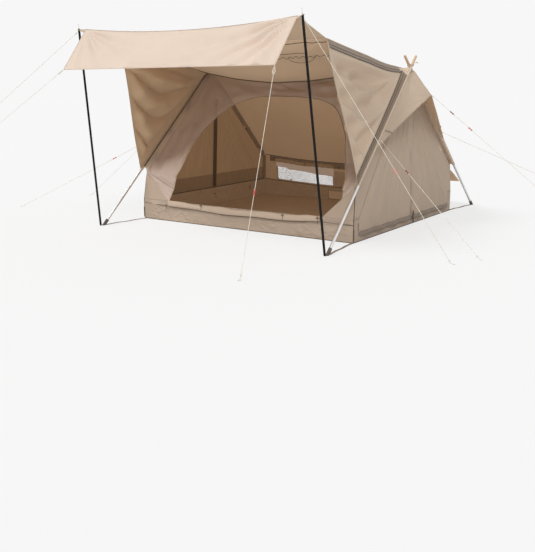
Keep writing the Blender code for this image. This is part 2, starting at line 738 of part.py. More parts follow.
# Side wings: the gusset of canvas between each edge of the canopy and the front sleeve below it
def side_wing(side):
    lift = Vector((0, -math.cos(LEAN), math.sin(LEAN))) * (SLEEVE_R + SEAM_GAP + CANVAS / 2)

    def point(share, down):
        reach = between(WING_TOP_REACH, EAVE_REACH, down)
        sleeve = pole_axis(side, -1, pole_plane(reach)) + lift
        out = between(WING_TOP_REACH / SEAM_REACH, 1, down)
        edge = canopy_point(side, out)
        edge.x += side * (SEAM_GAP + CANVAS / 2)
        fold = WING_FOLD * down * math.sin(math.pi * WING_FOLDS * share)
        return between(sleeve, edge, share) + Vector((side * fold, 0, 0))

    stops = [0, 0.17, 0.33, 0.5, 0.67, 0.83, 1]
    cloth(f"side_wing_{SIDE_NAMES[side]}", stops, stops, point, canvas_beige)


# Canopy poles: each stands beside a front foot and carries a corner of the canopy on its spike
def canopy_pole_foot(side):
    return Vector((side * FOOT_HALF_SPAN, -POLE_REACH - CANOPY_FOOT_AHEAD, CANOPY_POLE_R))


def canopy_pole_shoulder(side):
    across = CANOPY_HALF_WIDTH + CANOPY_TIP_OUT
    return Vector((side * across, -FOLD_REACH - CANOPY_TIP_AHEAD, FOLD_HEIGHT + FOLD_CORNER_RISE))


def canopy_pole(side):
    foot, shoulder = canopy_pole_foot(side), canopy_pole_shoulder(side)
    length = (shoulder - foot).length
    bore = CANOPY_POLE_R - CANOPY_POLE_WALL
    drain = math.asin(DRAIN_R / CANOPY_POLE_R)
    ball = [
        (CANOPY_POLE_R * math.sin(turn), -CANOPY_POLE_R * math.cos(turn))
        for turn in (drain, math.pi / 6, math.pi / 3, math.pi / 2)
    ]
    top = length + SPIKE_LENGTH
    inside = [(0, length - CANOPY_POLE_WALL), (bore, length - CANOPY_POLE_WALL), (bore, 0)]
    inside.append((DRAIN_R, -CANOPY_POLE_R / 2))
    outside = ball + [(CANOPY_POLE_R, length), (SPIKE_R, length), (SPIKE_R, top - SPIKE_R), (0, top)]
    name = f"canopy_pole_{SIDE_NAMES[side]}"
    turned(name, inside + outside, foot, shoulder - foot, black_paint, SPOOL_SIDES)


# Corner tabs: webbing sewn to each corner of the awning, with an eyelet that drops over the pole's spike
def corner_tab(side):
    spike = canopy_pole_shoulder(side)
    spike.z += SEAM_GAP + TAB_THICKNESS / 2 + CANOPY_POLE_R * up_canopy_pole(side).xy.length
    awning_length = (front_awning_point(side, 1) - front_awning_point(side, 0)).length

    def point(spread, stop):
        if stop == 0:
            sewn = front_awning_point(side, 1 - (1 - spread) / 2 * TAB_WIDTH / awning_length)
            return sewn + Vector((side * SEAM_GAP, 0, 0))
        past = TAB_OVERRUN if stop == 2 else -TAB_OVERRUN
        return spike + Vector((side * past, -spread * TAB_WIDTH / 2, 0))

    tab = cloth(f"corner_tab_{SIDE_NAMES[side]}", [-1, 1], [0, 1, 2], point, webbing, TAB_THICKNESS)
    drill = bmesh.new()
    deep = 10 * TAB_THICKNESS
    bmesh.ops.create_cone(
        drill, cap_ends=True, segments=SPOOL_SIDES, radius1=TAB_HOLE_R, radius2=TAB_HOLE_R, depth=deep
    )
    cutter = mesh_object(f"tab_hole_cutter_{SIDE_NAMES[side]}", drill, webbing, spike)
    cutter.hide_render = True
    cutter.display_type = "WIRE"
    hole = tab.modifiers.new("eyelet", "BOOLEAN")
    hole.object = cutter
    carry(awning, tab)


def up_canopy_pole(side):
    return (canopy_pole_shoulder(side) - canopy_pole_foot(side)).normalized()


for side in SIDE_NAMES:
    side_wing(side)
    canopy_pole(side)
    corner_tab(side)


# Base straps: webbing on the ground from each foot cap to the near corner of the floor tub
def base_strap(side, end):
    cap_edge = CAP_R / math.cos(LEAN) + STRAP_THICKNESS * math.tan(LEAN) + SEAM_GAP
    at_cap = (FOOT_HALF_SPAN, POLE_REACH - cap_edge)
    at_tub = (TUB_HALF_WIDTH - STRAP_WIDTH / 2, TUB_REACH + CANVAS / 2 + SEAM_GAP)

    def point(spread, share):
        across, reach = (between(a, b, share) for a, b in zip(at_cap, at_tub))
        return side * (across + spread * STRAP_WIDTH / 2), end * reach, STRAP_THICKNESS / 2

    name = f"base_strap_{END_NAMES[end]}_{SIDE_NAMES[side]}"
    cloth(name, [-1, 1], [0, 1], point, webbing, STRAP_THICKNESS)


for side in SIDE_NAMES:
    for end in END_NAMES:
        base_strap(side, end)


# Guylines: taut cords from the poles, hoods and flap corners to their pegs
def off_pole(centre, up, radius, peg):
    """Where a cord that heads for `peg` leaves the side of a round pole."""
    way = (peg - centre).normalized()
    lean = way.angle(up)
    return centre + way * (radius + SEAM_GAP + CORD_R * abs(math.cos(lean))) / math.sin(lean)


def off_sleeve(side, end, peg):
    return off_pole(pole_axis(side, end, GUY_HEIGHT), up_pole(side, end), SLEEVE_R, peg)


def off_canopy_pole(side, peg):
    up = up_canopy_pole(side)
    return off_pole(canopy_pole_shoulder(side) - up * CANOPY_POLE_R, up, CANOPY_POLE_R, peg)


def off_corner(corner, peg):
    return corner + (peg - corner).normalized() * 2 * SEAM_GAP


def peg_at(across, reach):
    return Vector((across, reach, CORD_END_HEIGHT))


# Tensioners: a turned spool on some of the guylines, with the cord through its bore
def tensioner(name, centre, along):
    half = SPOOL_LENGTH / 2
    waist = half - SPOOL_FLANGE
    taper = SPOOL_R - SPOOL_WAIST_R
    spool = [(SPOOL_BORE_R, -half), (SPOOL_R, -half), (SPOOL_R, -waist), (SPOOL_WAIST_R, taper - waist)]
    spool += [(SPOOL_WAIST_R, waist - taper), (SPOOL_R, waist), (SPOOL_R, half), (SPOOL_BORE_R, half)]
    turned(name, spool, centre, along, red_plastic, SPOOL_SIDES, hollow=True)


def guyline(where, start, peg, spool_share=None):
    cord(f"guyline_{where}", start, peg, CORD_R, cord_cream, pivot=peg)
    if spool_share:
        tensioner(f"tensioner_{where}", between(start, peg, spool_share), start - peg)


peg = peg_at(-3.200, -2.950)
guyline("canopy_pole_left", off_canopy_pole(-1, peg), peg)
peg = peg_at(-3.330, -2.700)
guyline("flap_left", off_corner(hem(-1), peg), peg)
peg = peg_at(-2.943, -1.282)
guyline("frame_front_left", off_sleeve(-1, -1, peg), peg, 0.34)
peg = peg_at(-2.980, -0.200)
guyline("hood_left", off_corner(hood_tip(-1), peg), peg)
peg = peg_at(1.175, -2.660)
guyline("flap_right", off_corner(hem(1), peg), peg, 0.60)
peg = peg_at(2.220, -1.390)
guyline("canopy_pole_right", off_canopy_pole(1, peg), peg, 0.61)
peg = peg_at(2.339, -1.110)
guyline("frame_front_right", off_sleeve(1, -1, peg), peg, 0.29)
peg = peg_at(2.940, 0.150)
guyline("hood_right", off_corner(hood_tip(1), peg), peg)
peg = peg_at(3.020, 1.560)
guyline("frame_back_right", off_sleeve(1, 1, peg), peg)
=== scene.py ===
from math import atan2, cos, exp, hypot, pi, radians, sin, tan, tau

import bmesh
import bpy
from mathutils import Matrix, Vector, noise


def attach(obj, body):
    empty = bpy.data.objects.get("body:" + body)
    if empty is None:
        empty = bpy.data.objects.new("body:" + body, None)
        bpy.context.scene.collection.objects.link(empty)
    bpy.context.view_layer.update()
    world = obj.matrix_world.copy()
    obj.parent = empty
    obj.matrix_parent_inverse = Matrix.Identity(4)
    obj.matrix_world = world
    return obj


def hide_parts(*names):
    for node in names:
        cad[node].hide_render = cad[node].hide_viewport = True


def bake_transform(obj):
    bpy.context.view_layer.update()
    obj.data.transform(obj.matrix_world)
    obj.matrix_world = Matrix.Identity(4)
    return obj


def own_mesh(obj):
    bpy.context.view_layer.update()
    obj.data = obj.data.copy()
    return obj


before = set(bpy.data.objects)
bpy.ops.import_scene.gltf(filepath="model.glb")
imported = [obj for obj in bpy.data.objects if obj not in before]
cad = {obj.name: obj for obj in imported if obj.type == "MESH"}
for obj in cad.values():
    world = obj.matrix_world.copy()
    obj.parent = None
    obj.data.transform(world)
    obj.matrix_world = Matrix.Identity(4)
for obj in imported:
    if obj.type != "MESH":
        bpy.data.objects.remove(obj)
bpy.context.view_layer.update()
bpy.context.scene.view_settings.view_transform = "Standard"

# Camera: a person's chest height, to the right of the open front, with the distance and the lens that
# were fitted to the photograph. The tent stands in the upper half of a tall frame.
def vec(*values):
    """A vector of these values."""
    return Vector(values)


azimuth = radians(34.743)
elevation = radians(13.905)
roll = radians(-0.303)
aim = vec(0, 0, 0.675)
distance = 7.998
moved_left = 0.359
moved_down = 1.311
backward = vec(sin(azimuth), -cos(azimuth), tan(elevation)).normalized()
level = vec(cos(azimuth), sin(azimuth), 0)
upward = backward.cross(level)
rightward = level * cos(roll) + upward * sin(roll)
upright = upward * cos(roll) - level * sin(roll)
stand = aim + backward * distance - level * moved_left - upward * moved_down
camera = bpy.data.objects.new("camera", bpy.data.cameras.new("camera"))
camera.data.lens = 50.174
turn = Matrix((rightward, upright, backward)).transposed().to_4x4()
camera.matrix_world = Matrix.Translation(stand) @ turn
bpy.context.scene.collection.objects.link(camera)
bpy.context.scene.camera = camera


# Guylines: 4 mm braided polyester cord, tied on with a hitch and pulled down straight to a peg, where it
# ends in a loop on the ground. On the two canopy poles only the top knot rides with the pole.
def new_skin(name, colour, roughness, values=None):
    """A material with uniform values set on its own shader, and that shader."""
    skin = bpy.data.materials.new(name)
    skin.use_nodes = True
    shader = skin.node_tree.nodes["Principled BSDF"]
    for socket, value in {"Base Color": (*colour, 1), "Roughness": roughness, **(values or {})}.items():
        shader.inputs[socket].default_value = value
    return skin, shader


def feed(tree, socket, value):
    """Links another node's output to a socket, or sets the socket's own value."""
    if isinstance(value, bpy.types.NodeSocket):
        tree.links.new(value, socket)
    else:
        socket.default_value = value


def add(tree, kind, *fed, **values):
    """A new node's outputs. `values` are its settings and sockets by name, `fed` its sockets in order."""
    node = tree.nodes.new(f"ShaderNode{kind}")
    for key, value in values.items():
        socket = node.inputs.get(key.replace("_", " ").title())
        if socket:
            feed(tree, socket, value)
        else:
            setattr(node, key, value)
    for socket, value in zip(node.inputs, fed):
        feed(tree, socket, value)
    return node.outputs


def object_place(tree):
    """Where a point is on its object, in metres."""
    return add(tree, "TexCoord")["Object"]


def weighed(tree, value, factor, base):
    return add(tree, "Math", value, factor, base, operation="MULTIPLY_ADD")[0]


def tinted(tree, colour, factor):
    return add(tree, "VectorMath", colour, operation="SCALE", scale=factor)[0]


def group(name, takes, gives):
    """A node group with its sockets: its tree, what it is given and what it has to give."""
    tree = bpy.data.node_groups.new(name, "ShaderNodeTree")
    for way, sockets in (("INPUT", takes), ("OUTPUT", gives)):
        for socket, kind in sockets.items():
            tree.interface.new_socket(socket, in_out=way, socket_type=f"NodeSocket{kind}")
    return tree, tree.nodes.new("NodeGroupInput").outputs, tree.nodes.new("NodeGroupOutput").inputs


def patterned(skin, shader, pattern, strength, depth, **values):
    """Lays a group's colour, roughness and relief on a skin, and returns the group's outputs."""
    tree = skin.node_tree
    found = add(tree, "Group", node_tree=pattern, **values)
    for output, socket in (("Colour", "Base Color"), ("Roughness", "Roughness")):
        if output in found:
            feed(tree, shader.inputs[socket], found[output])
    relief = add(tree, "Bump", strength=strength, distance=depth, height=found["Height"])
    feed(tree, shader.inputs["Normal"], relief[0])
    return found


def braid_group():
    """Slanting strands with a little dirt."""
    tree, given, result = group("braided strands", {"Place": "Vector", "Yarn": "Color"},
                                {"Colour": "Color", "Height": "Float"})
    strand = add(tree, "TexWave", given["Place"], bands_direction="DIAGONAL", scale=95)["Fac"]
    dirt = add(tree, "TexNoise", given["Place"], scale=9, detail=4)["Fac"]
    shade = weighed(tree, dirt, 0.16, weighed(tree, strand, 0.16, 0.78))
    feed(tree, result["Colour"], tinted(tree, given["Yarn"], shade))
    feed(tree, result["Height"], strand)
    return tree


cream = (0.80, 0.74, 0.64)
cord_skin, shader = new_skin("cream braided cord", cream, 0.8, {"Sheen Weight": 0.1})
patterned(cord_skin, shader, braid_group(), 0.4, 0.0005, yarn=(*cream, 1),
          place=object_place(cord_skin.node_tree))


def shares(count):
    return [step / count for step in range(count + 1)]


def between(start, stop, share):
    return start + (stop - start) * share


def put(piece, body=None, node=None):
    """Hides the CAD node a piece stands for, and hangs the piece on the body it rides on."""
    if node:
        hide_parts(node)
    if body:
        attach(piece, body)


def tube(name, route, radius, skin, slot=None, body="root", closed=False):
    """A round run along a route, as a mesh at the origin."""
    curve = bpy.data.curves.new(name, "CURVE")
    curve.dimensions = "3D"
    curve.bevel_depth = radius
    curve.bevel_resolution = 2
    curve.use_fill_caps = not closed
    spline = curve.splines.new("POLY")
    spline.points.add(len(route) - 1)
    for point, place in zip(spline.points, route):
        point.co = (*place, 1)
    spline.use_cyclic_u = closed
    pattern = bpy.data.objects.new(name, curve)
    data = bpy.data.meshes.new_from_object(pattern)
    bpy.data.objects.remove(pattern)
    bpy.data.curves.remove(curve)
    data.name = name
    data.materials.clear()
    data.materials.append(skin)
    data.shade_smooth()
    piece = bpy.data.objects.new(name, data)
    bpy.context.scene.collection.objects.link(piece)
    if slot:
        put(piece, body)
    return piece


def hitch(name, place, along, turns):
    """A few tight turns of cord about a line."""
    turn = along.to_track_quat("Z", "Y")
    radius = 0.0034
    pitch = 0.0042
    route = []
    for step in range(turns * 12 + 1):
        angle = tau * step / 12
        arm = vec(cos(angle) * radius, sin(angle) * radius, pitch * (step / 12 - turns / 2))
        route.append(place + turn @ arm)
    return tube(name, route, cord_end, cord_skin)


cord_end = 0.0019
cord_runs = {
    "canopy_pole_left": ((-1.1906, -1.87228, 1.80104), (-3.2, -2.95, 0.004), "pole_left"),
    "canopy_pole_right": ((1.19335, -1.86096, 1.78773), (2.22, -1.39, 0.004), "pole_right"),
    "flap_left": ((-1.11665, -2.13317, 1.46757), (-3.33, -2.7, 0.004), "flap_line_left"),
    "flap_right": ((1.11603, -2.13327, 1.46725), (1.175, -2.66, 0.004), "flap_line_right"),
    "frame_front_left": ((-1.24843, -0.68565, 0.86184), (-2.943, -1.282, 0.004), "root"),
    "frame_front_right": ((1.2481, -0.68612, 0.85764), (2.339, -1.11, 0.004), "root"),
    "frame_back_right": ((1.23265, 0.68807, 0.86204), (3.02, 1.56, 0.004), "root"),
    "hood_left": ((-1.41063, -0.00008, 1.23251), (-2.98, -0.2, 0.004), "root"),
    "hood_right": ((1.41062, 0.00006, 1.2325), (2.94, 0.15, 0.004), "root"),
}
for where, (top, peg, body) in cord_runs.items():
    top = Vector(top)
    peg = Vector(peg)
    way = (peg - top).normalized()
    route = [between(peg, top, share) for share in shares(18)]
    line = tube(f"cord_{where}", route, 0.002, cord_skin)
    knot = hitch(f"peg_knot_{where}", peg - way * 0.030, way, 5)
    flat_way = vec(way.x, way.y, 0).normalized()
    beside = vec(flat_way.y, -flat_way.x, 0)
    loop = [peg + flat_way * 0.024 * (1 - cos(turn * tau)) / 1.6 + beside * 0.010 * sin(turn * tau)
            for turn in shares(28)[:-1]]
    loop = [vec(point.x, point.y, 0.0045) for point in loop]
    ring = tube(f"peg_loop_{where}", loop, cord_end, cord_skin, closed=True)
    tie = hitch(f"top_knot_{where}", top + way * 0.022, way, 4)
    tied_on = [knot, ring, tie]
    if where.startswith("flap"):
        bow = [top + way * (0.024 + 0.022 * (1 - cos(turn * tau))) + beside * 0.011 * sin(turn * tau)
               for turn in shares(24)[:-1]]
        tied_on.append(tube(f"corner_loop_{where}", bow, cord_end, cord_skin, closed=True))
    if body.startswith("pole"):
        put(line, node=f"guyline_{where}")
        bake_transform(line)
        for piece, carrier in ((knot, "root"), (ring, "root"), (tie, body)):
            put(piece, carrier)
    else:
        put(line, body, f"guyline_{where}")
        for piece in tied_on:
            put(piece, body)


# Line tensioners: turned spools of red moulded plastic that the cord runs through. The right hood's line
# has two of its own, close to the hood, and the upper one is of a darker red.
finish = {"Colour": "Color", "Roughness": "Float", "Height": "Float"}


def speckle_group():
    """Fine specks and broad clouds, for moulded, painted and turned surfaces."""
    tree, given, result = group("specks and clouds", {
        "Place": "Vector", "Base": "Color", "Speck Scale": "Float", "Roughness Low": "Float",
        "Roughness High": "Float"}, finish)
    speck = add(tree, "TexNoise", given["Place"], scale=given["Speck Scale"], detail=3)["Fac"]
    cloud = add(tree, "TexNoise", given["Place"], scale=14, detail=5, roughness=0.65)["Fac"]
    tone = add(tree, "MapRange", cloud, to_min=0.82, to_max=1.16)[0]
    gloss = add(tree, "MapRange", cloud, to_min=given["Roughness Low"], to_max=given["Roughness High"])[0]
    feed(tree, result["Colour"], tinted(tree, given["Base"], tone))
    feed(tree, result["Roughness"], gloss)
    feed(tree, result["Height"], speck)
    return tree


def speckled_skin(name, colour, low, high, scale, depth, metallic=0.0, grain=(0, 1)):
    """A hard finish. `grain` is a turn of the pattern about X, and its scale along the Z so turned."""
    skin, shader = new_skin(name, colour, high, {"Metallic": metallic})
    tree = skin.node_tree
    turn, draw = grain
    place = add(tree, "Mapping", object_place(tree), rotation=(turn, 0, 0), scale=(1, 1, draw))[0]
    patterned(skin, shader, specks, 0.5, depth, place=place, base=(*colour, 1), speck_scale=scale,
              roughness_low=low, roughness_high=high)
    return skin


def dress(node, skin):
    """Gives a CAD node its finish."""
    cad[node].material_slots[0].material = skin


specks = speckle_group()
reds = {"red": (0.62, 0.10, 0.10), "dark red": (0.28, 0.04, 0.05), "pink": (0.85, 0.32, 0.28)}
plastics = {shade: speckled_skin(f"{shade} moulded plastic", colour, 0.35, 0.5, 400, 0.0002)
            for shade, colour in reds.items()}
for where, shade in (("frame_front_left", "red"), ("flap_right", "red"), ("canopy_pole_right", "pink"),
                     ("frame_front_right", "dark red")):
    dress(f"tensioner_{where}", plastics[shade])


def keep_mesh(name, shape, *skins):
    """A finished bmesh as an object in the scene."""
    data = bpy.data.meshes.new(name)
    shape.to_mesh(data)
    shape.free()
    data.shade_smooth()
    for skin in skins:
        data.materials.append(skin)
    piece = bpy.data.objects.new(name, data)
    bpy.context.scene.collection.objects.link(piece)
    return piece


def turned(name, profile, place, along, skin, steps=16):
    """A profile of (radius, distance) spun about the line through `place`, as a mesh at the origin."""
    shape = bmesh.new()
    corners = [shape.verts.new((radius, 0, distance)) for radius, distance in profile]
    edges = [shape.edges.new(pair) for pair in zip(corners, corners[1:])]
    bmesh.ops.spin(shape, geom=corners + edges, axis=(0, 0, 1), cent=(0, 0, 0), steps=steps, angle=tau,
                   use_merge=True)
    bmesh.ops.remove_doubles(shape, verts=shape.verts, dist=1e-6)
    bmesh.ops.recalc_face_normals(shape, faces=shape.faces)
    shape.transform(Matrix.Translation(place) @ along.to_track_quat("Z", "Y").to_matrix().to_4x4())
    return keep_mesh(name, shape, skin)


hood_end, hood_peg = (Vector(place) for place in cord_runs["hood_right"][:2])
spool = [(0.0, -0.020), (0.006, -0.020), (0.007, -0.019), (0.007, -0.015), (0.0045, -0.012)]
spool += [(radius, -distance) for radius, distance in spool[::-1]]
for name, share, shade in (("upper", 0.13, "dark red"), ("lower", 0.245, "red")):
    place = between(hood_end, hood_peg, share)
    piece = turned(f"hood_line_tensioner_{name}", spool, place, hood_end - hood_peg, plastics[shade])
    put(piece, "root")


# Frame poles: bare drawn aluminium tube in black rubber foot caps, with turned hardwood tips plugged into
# the top. A front and a back pole cross at each end of the ridge.
crossing_height = 1.5
pole_reach = 1.619
lean = atan2(pole_reach, crossing_height)


def pole_axis(side, end, height):
    """The middle of a frame pole. `end` is -1 for the front one and 1 for the back one."""
    rise = height / crossing_height
    across = between(1.27, 1.191 - end * 0.014, rise)
    return vec(side * across, end * pole_reach * (1 - rise), height)


def pole_plane(reach):
    """How high the frame poles are at this reach."""
    return crossing_height * (1 - reach / pole_reach)


def beside_sleeve(end, reach):
    """How far out a sheet runs before it meets the inner flank of a pole sleeve."""
    return pole_axis(1, end, pole_plane(reach)).x - 0.0149


sides = {"left": -1, "right": 1}
ends = {"front": -1, "back": 1}
rubber = speckled_skin("brown black rubber", (0.10, 0.080, 0.066), 0.7, 0.9, 300, 0.0004)
for end_name, end in ends.items():
    drawn = speckled_skin(f"drawn aluminium {end_name}", (0.76, 0.76, 0.75), 0.22, 0.42, 500, 0.0001, 1.0,
                          (-end * lean, 0.04))
    hardwood = speckled_skin(f"turned hardwood {end_name}", (0.60, 0.42, 0.26), 0.5, 0.7, 260, 0.0004, 0.0,
                             (-end * lean, 0.06))
    for hand in sides:
        for node, skin in (("frame_pole", drawn), ("pole_tip", hardwood), ("foot_cap", rubber)):
            dress(f"{node}_{end_name}_{hand}", skin)


# Canopy poles: steel tube with a black powder coat, and a thin plated spike on top that goes through an
# eyelet.
def height_in(tree):
    return add(tree, "SeparateXYZ", object_place(tree))["Z"]


black_coat = speckled_skin("black powder coat", (0.008, 0.008, 0.008), 0.6, 0.75, 900, 0.0002)
tree = black_coat.node_tree
shader = tree.nodes["Principled BSDF"]
shader.inputs["Specular IOR Level"].default_value = 0.15
coat_top = 1.832
coat = shader.inputs["Base Color"].links[0].from_socket
on_spike = add(tree, "Math", height_in(tree), coat_top, operation="GREATER_THAN")[0]
plated = tree.nodes.new("ShaderNodeMix")
plated.data_type = "RGBA"
for number, value in ((0, on_spike), (6, coat), (7, (0.75, 0.75, 0.74, 1))):
    feed(tree, plated.inputs[number], value)
feed(tree, shader.inputs["Base Color"], plated.outputs[2])
for hand in sides:
    dress(f"canopy_pole_{hand}", black_coat)


# Pole sleeves: tunnels of the roof's canvas sewn along its sloping edges, which the poles slide through.
# They run from the eave to just below the crossing, and pucker along their seam.
def crossed(tree, cut, scale):
    """Threads that cross, as the height of the upper one."""
    threads = [add(tree, "TexWave", cut, scale, bands_direction=way)["Fac"] for way in "XY"]
    return add(tree, "Math", *threads, operation="MAXIMUM")[0]


def weave_group():
    """Plain-woven cloth in metres of its own cut: crossing yarns, slubs, flecks and broad clouds."""
    tree, given, result = group("plain weave", {"Cut": "Vector", "Yarn": "Color", "Weave Scale": "Float",
                                                "Cloud": "Float"}, finish)
    cut = given["Cut"]
    crossing = crossed(tree, cut, given["Weave Scale"])
    cloud = add(tree, "TexNoise", cut, scale=1.7, detail=5, roughness=0.6)["Fac"]
    fleck = add(tree, "TexNoise", cut, scale=160, detail=2)["Fac"]
    slub = add(tree, "TexNoise", add(tree, "Mapping", cut, scale=(340, 9, 1))[0], scale=1, detail=3)["Fac"]
    centred = add(tree, "Math", cloud, 0.5, operation="SUBTRACT")[0]
    tone = weighed(tree, centred, given["Cloud"], 0.86)
    for layer, share in ((fleck, 0.10), (slub, 0.10), (crossing, 0.08)):
        tone = weighed(tree, layer, share, tone)
    feed(tree, result["Colour"], tinted(tree, given["Yarn"], tone))
    feed(tree, result["Roughness"], add(tree, "MapRange", cloud, to_min=0.78, to_max=0.95)[0])
    feed(tree, result["Height"], weighed(tree, crossing, 0.6, slub))
    return tree


def woven_skin(name, colour, scale=450, cloud=0.22, sheen=0.12, depth=0.0003, glow=0.0, foot=None):
    """`glow` is painted light, given off for the daylight through the cloth. Up to the height `foot` it is
    darker.
    """
    skin, shader = new_skin(name, colour, 0.9, {"Sheen Weight": sheen, "Specular IOR Level": 0.2})
    tree = skin.node_tree
    shade = patterned(skin, shader, plain_weave, 0.3, depth, cut=add(tree, "UVMap", uv_map="cut")["UV"],
                      yarn=(*colour, 1), weave_scale=scale, cloud=cloud)["Colour"]
    if foot:
        step = add(tree, "MapRange", height_in(tree), foot - 0.002, foot + 0.002, 0.62)[0]
        shade = tinted(tree, shade, step)
        feed(tree, shader.inputs["Base Color"], shade)
    if glow:
        feed(tree, shader.inputs["Emission Color"], shade)
        shader.inputs["Emission Strength"].default_value = glow
    return skin


plain_weave = weave_group()
canvas_outer = woven_skin("cotton canvas", (0.60, 0.475, 0.36))
# A darker copy of the same canvas for the gables, doors and apex patches: painted shade.
canvas_in_shade = woven_skin("cotton canvas in shade", (0.475, 0.370, 0.282))
# Darker, warmer copies of the canvas for the facings and the inside: painted shade, with glow as painted
# light.
facing_canvas = woven_skin("doubled canvas facing", (0.30, 0.215, 0.145), glow=0.08)
canvas_inner = woven_skin("cotton canvas from inside", (0.48, 0.33, 0.20), glow=0.28)
shaded_inner = woven_skin("cotton canvas low inside", (0.39, 0.255, 0.148), glow=0.31)
door_inner = woven_skin("door canvas from inside", (0.355, 0.228, 0.126), glow=0.27, foot=0.347)
canvas_trim = woven_skin("canvas hem", (0.44, 0.34, 0.25))
zip_tape = woven_skin("zip tape", (0.19, 0.142, 0.105))


def sheet(name, across, along, place, outside, skins, crease=None, wall=0.0008, closed=False, cut_out=None):
    """A sheet of cloth through `place` of each pair of stops, creased outwards by `crease` of each pair of
    shares, and the size of its cut. A number stands for that many even steps. The first skin faces
    `outside`, a direction or a function that gives one, and the second skin the other way."""
    across, along = (shares(stop) if isinstance(stop, int) else stop for stop in (across, along))
    columns = len(across) - 1
    rows = len(along) - 1
    shape = bmesh.new()
    bmesh.ops.create_grid(shape, x_segments=columns, y_segments=rows, size=0.5)
    corner = max(vert.co.x for vert in shape.verts)
    where = {}
    for vert in shape.verts:
        column = round((vert.co.x / corner + 1) / 2 * columns)
        row = round((vert.co.y / corner + 1) / 2 * rows)
        where[vert] = (column, row)
        vert.co = Vector(place(across[column], along[row]))
    spots = {spot: vert for vert, spot in where.items()}
    wide = [0.0] * (rows + 1)
    deep = [0.0] * (columns + 1)
    for (column, row), vert in spots.items():
        if column:
            wide[row] += (vert.co - spots[column - 1, row].co).length
        if row:
            deep[column] += (vert.co - spots[column, row - 1].co).length
    width = max(wide)
    length = sum(deep) / len(deep)
    cut = shape.loops.layers.uv.new("cut")
    for face in shape.faces:
        for loop in face.loops:
            column, row = where[loop.vert]
            loop[cut].uv = (column / columns * width, row / rows * length)
    if cut_out:
        gone = [face for face in shape.faces if cut_out(face.calc_center_median())]
        bmesh.ops.delete(shape, geom=gone, context="FACES")
    area = sum(face.calc_area() for face in shape.faces)
    shape.normal_update()
    facing = 0
    for face in shape.faces:
        way = outside(face.calc_center_median()) if callable(outside) else Vector(outside)
        facing += face.normal.dot(way) * face.calc_area()
    if facing < 0:
        bmesh.ops.reverse_faces(shape, faces=shape.faces)
        shape.normal_update()
    if crease:
        for vert in shape.verts:
            column, row = where[vert]
            vert.co += vert.normal * crease(column / columns, row / rows)
    if closed:
        bmesh.ops.remove_doubles(shape, verts=shape.verts, dist=1e-5)
    piece = keep_mesh(name, shape, *skins)
    solid = piece.modifiers.new("wall", "SOLIDIFY")
    solid.thickness = wall
    solid.offset = 0
    solid.material_offset = len(skins) - 1
    return piece, {"flat": (width, length), "area": min(area, width * length)}


def cloth(*made, slot="canvas", body="root", node=None, held="stretched", rests_on=None, change=None,
          **more):
    """A sheet put in place, after `change` is done to it. `rests_on` is not used."""
    piece, cut = sheet(*made, **more)
    if change:
        change(piece)
    put(piece, body, node)
    return piece


def ease(share):
    """A share from 0 to 1, softened at both ends."""
    share = max(0.0, min(1.0, share))
    return share * share * (3 - 2 * share)


def sewn(u, v, edge=0.07):
    """0 on the four sewn edges of a sheet and 1 inside."""
    return ease(min(u, 1 - u, v, 1 - v) / edge)


def rough(*place):
    """A soft random height at a place, from -1 to 1."""
    return noise.noise(Vector(place))


def ripple(u, v, size, depth, seed):
    """Soft unevenness, with `size` bumps across and along the sheet."""
    return depth * rough(u * size[0], v * size[1], seed)


def fan(u, v, corner, stretch, spokes, depth, reach, wander=0.6):
    """Creases that spread from a corner under tension and die away."""
    east = (u - corner[0]) * stretch[0]
    north = (v - corner[1]) * stretch[1]
    distance = hypot(east, north)
    turn = atan2(abs(north), abs(east))
    strength = depth * exp(-distance / reach) * ease(distance / 0.12)
    return strength * sin(spokes * turn + wander * sin(distance * 5))


def two_fans(u, v, row, *creases):
    """The same creases from both ends of the sheet's first or last row."""
    return fan(u, v, (0, row), *creases) + fan(u, v, (1, row), *creases)


for hand, side in sides.items():
    for end_name, end in ends.items():
        up = (pole_axis(side, end, crossing_height) - pole_axis(side, end, 0)).normalized()
        abreast = up.cross(vec(side, 0, 0)).normalized()
        outward = abreast.cross(up).normalized()
        low = pole_axis(side, end, 0.499)
        high = pole_axis(side, end, 1.474)

        def tunnel(turn, share):
            angle = tau * turn
            pucker = 0.0006 * sin(70 * share + 3 * sin(9 * share)) * cos(angle) ** 2
            arm = outward * cos(angle) * (0.0145 + pucker) + abreast * sin(angle) * 0.0140
            return between(low, high, share) + arm

        cloth(f"sleeve_{end_name}_{hand}", 20, 90, tunnel,
              lambda place: place - pole_axis(side, end, place.z), [canvas_outer], closed=True,
              node=f"pole_sleeve_{end_name}_{hand}",
              rests_on=[f"frame_pole_{end_name}_{hand}"])


# Apex lashings: flat webbing wound round both wooden tips where they cross. Each has three turns side by
# side, and a loose end that points outwards.
webbing_skin = woven_skin("cotton webbing", (0.52, 0.41, 0.30), scale=170, depth=0.0006)
for hand, side in sides.items():
    middle = vec(side * 1.191, 0, 1.5)

    def wound(turn, share):
        angle = tau * turn
        swell = 0.0012 * sin(3 * pi * share) ** 2
        height = 0.017 * (share - 0.5) + 0.003 * sin(angle)
        return middle + vec((0.0295 + swell) * cos(angle), (0.0240 + swell) * sin(angle), height)

    cloth(f"lashing_{hand}", 40, 12, wound, lambda place: place - middle, [webbing_skin], wall=0.0018,
          closed=True, slot="webbing", node=f"apex_lashing_{hand}")

    def tail(spread, share):
        run = vec(side * (0.028 + 0.040 * share), 0.012 * share, 0.030 * sin(2.4 * share) - 0.004)
        return middle + run + vec(0, spread * 0.004, spread * 0.003)

    cloth(f"lashing_tail_{hand}", [-1, 0, 1], 10, tail, (side, 0, 0), [webbing_skin], wall=0.0016,
          slot="webbing")


# Ridge tape: the rolled seam of canvas along the ridge, slung between the crossings and sagging in the
# middle. The roof, the canopy and the net all hang from it.
ridge_half = 1.177
ridge_sag = 0.078


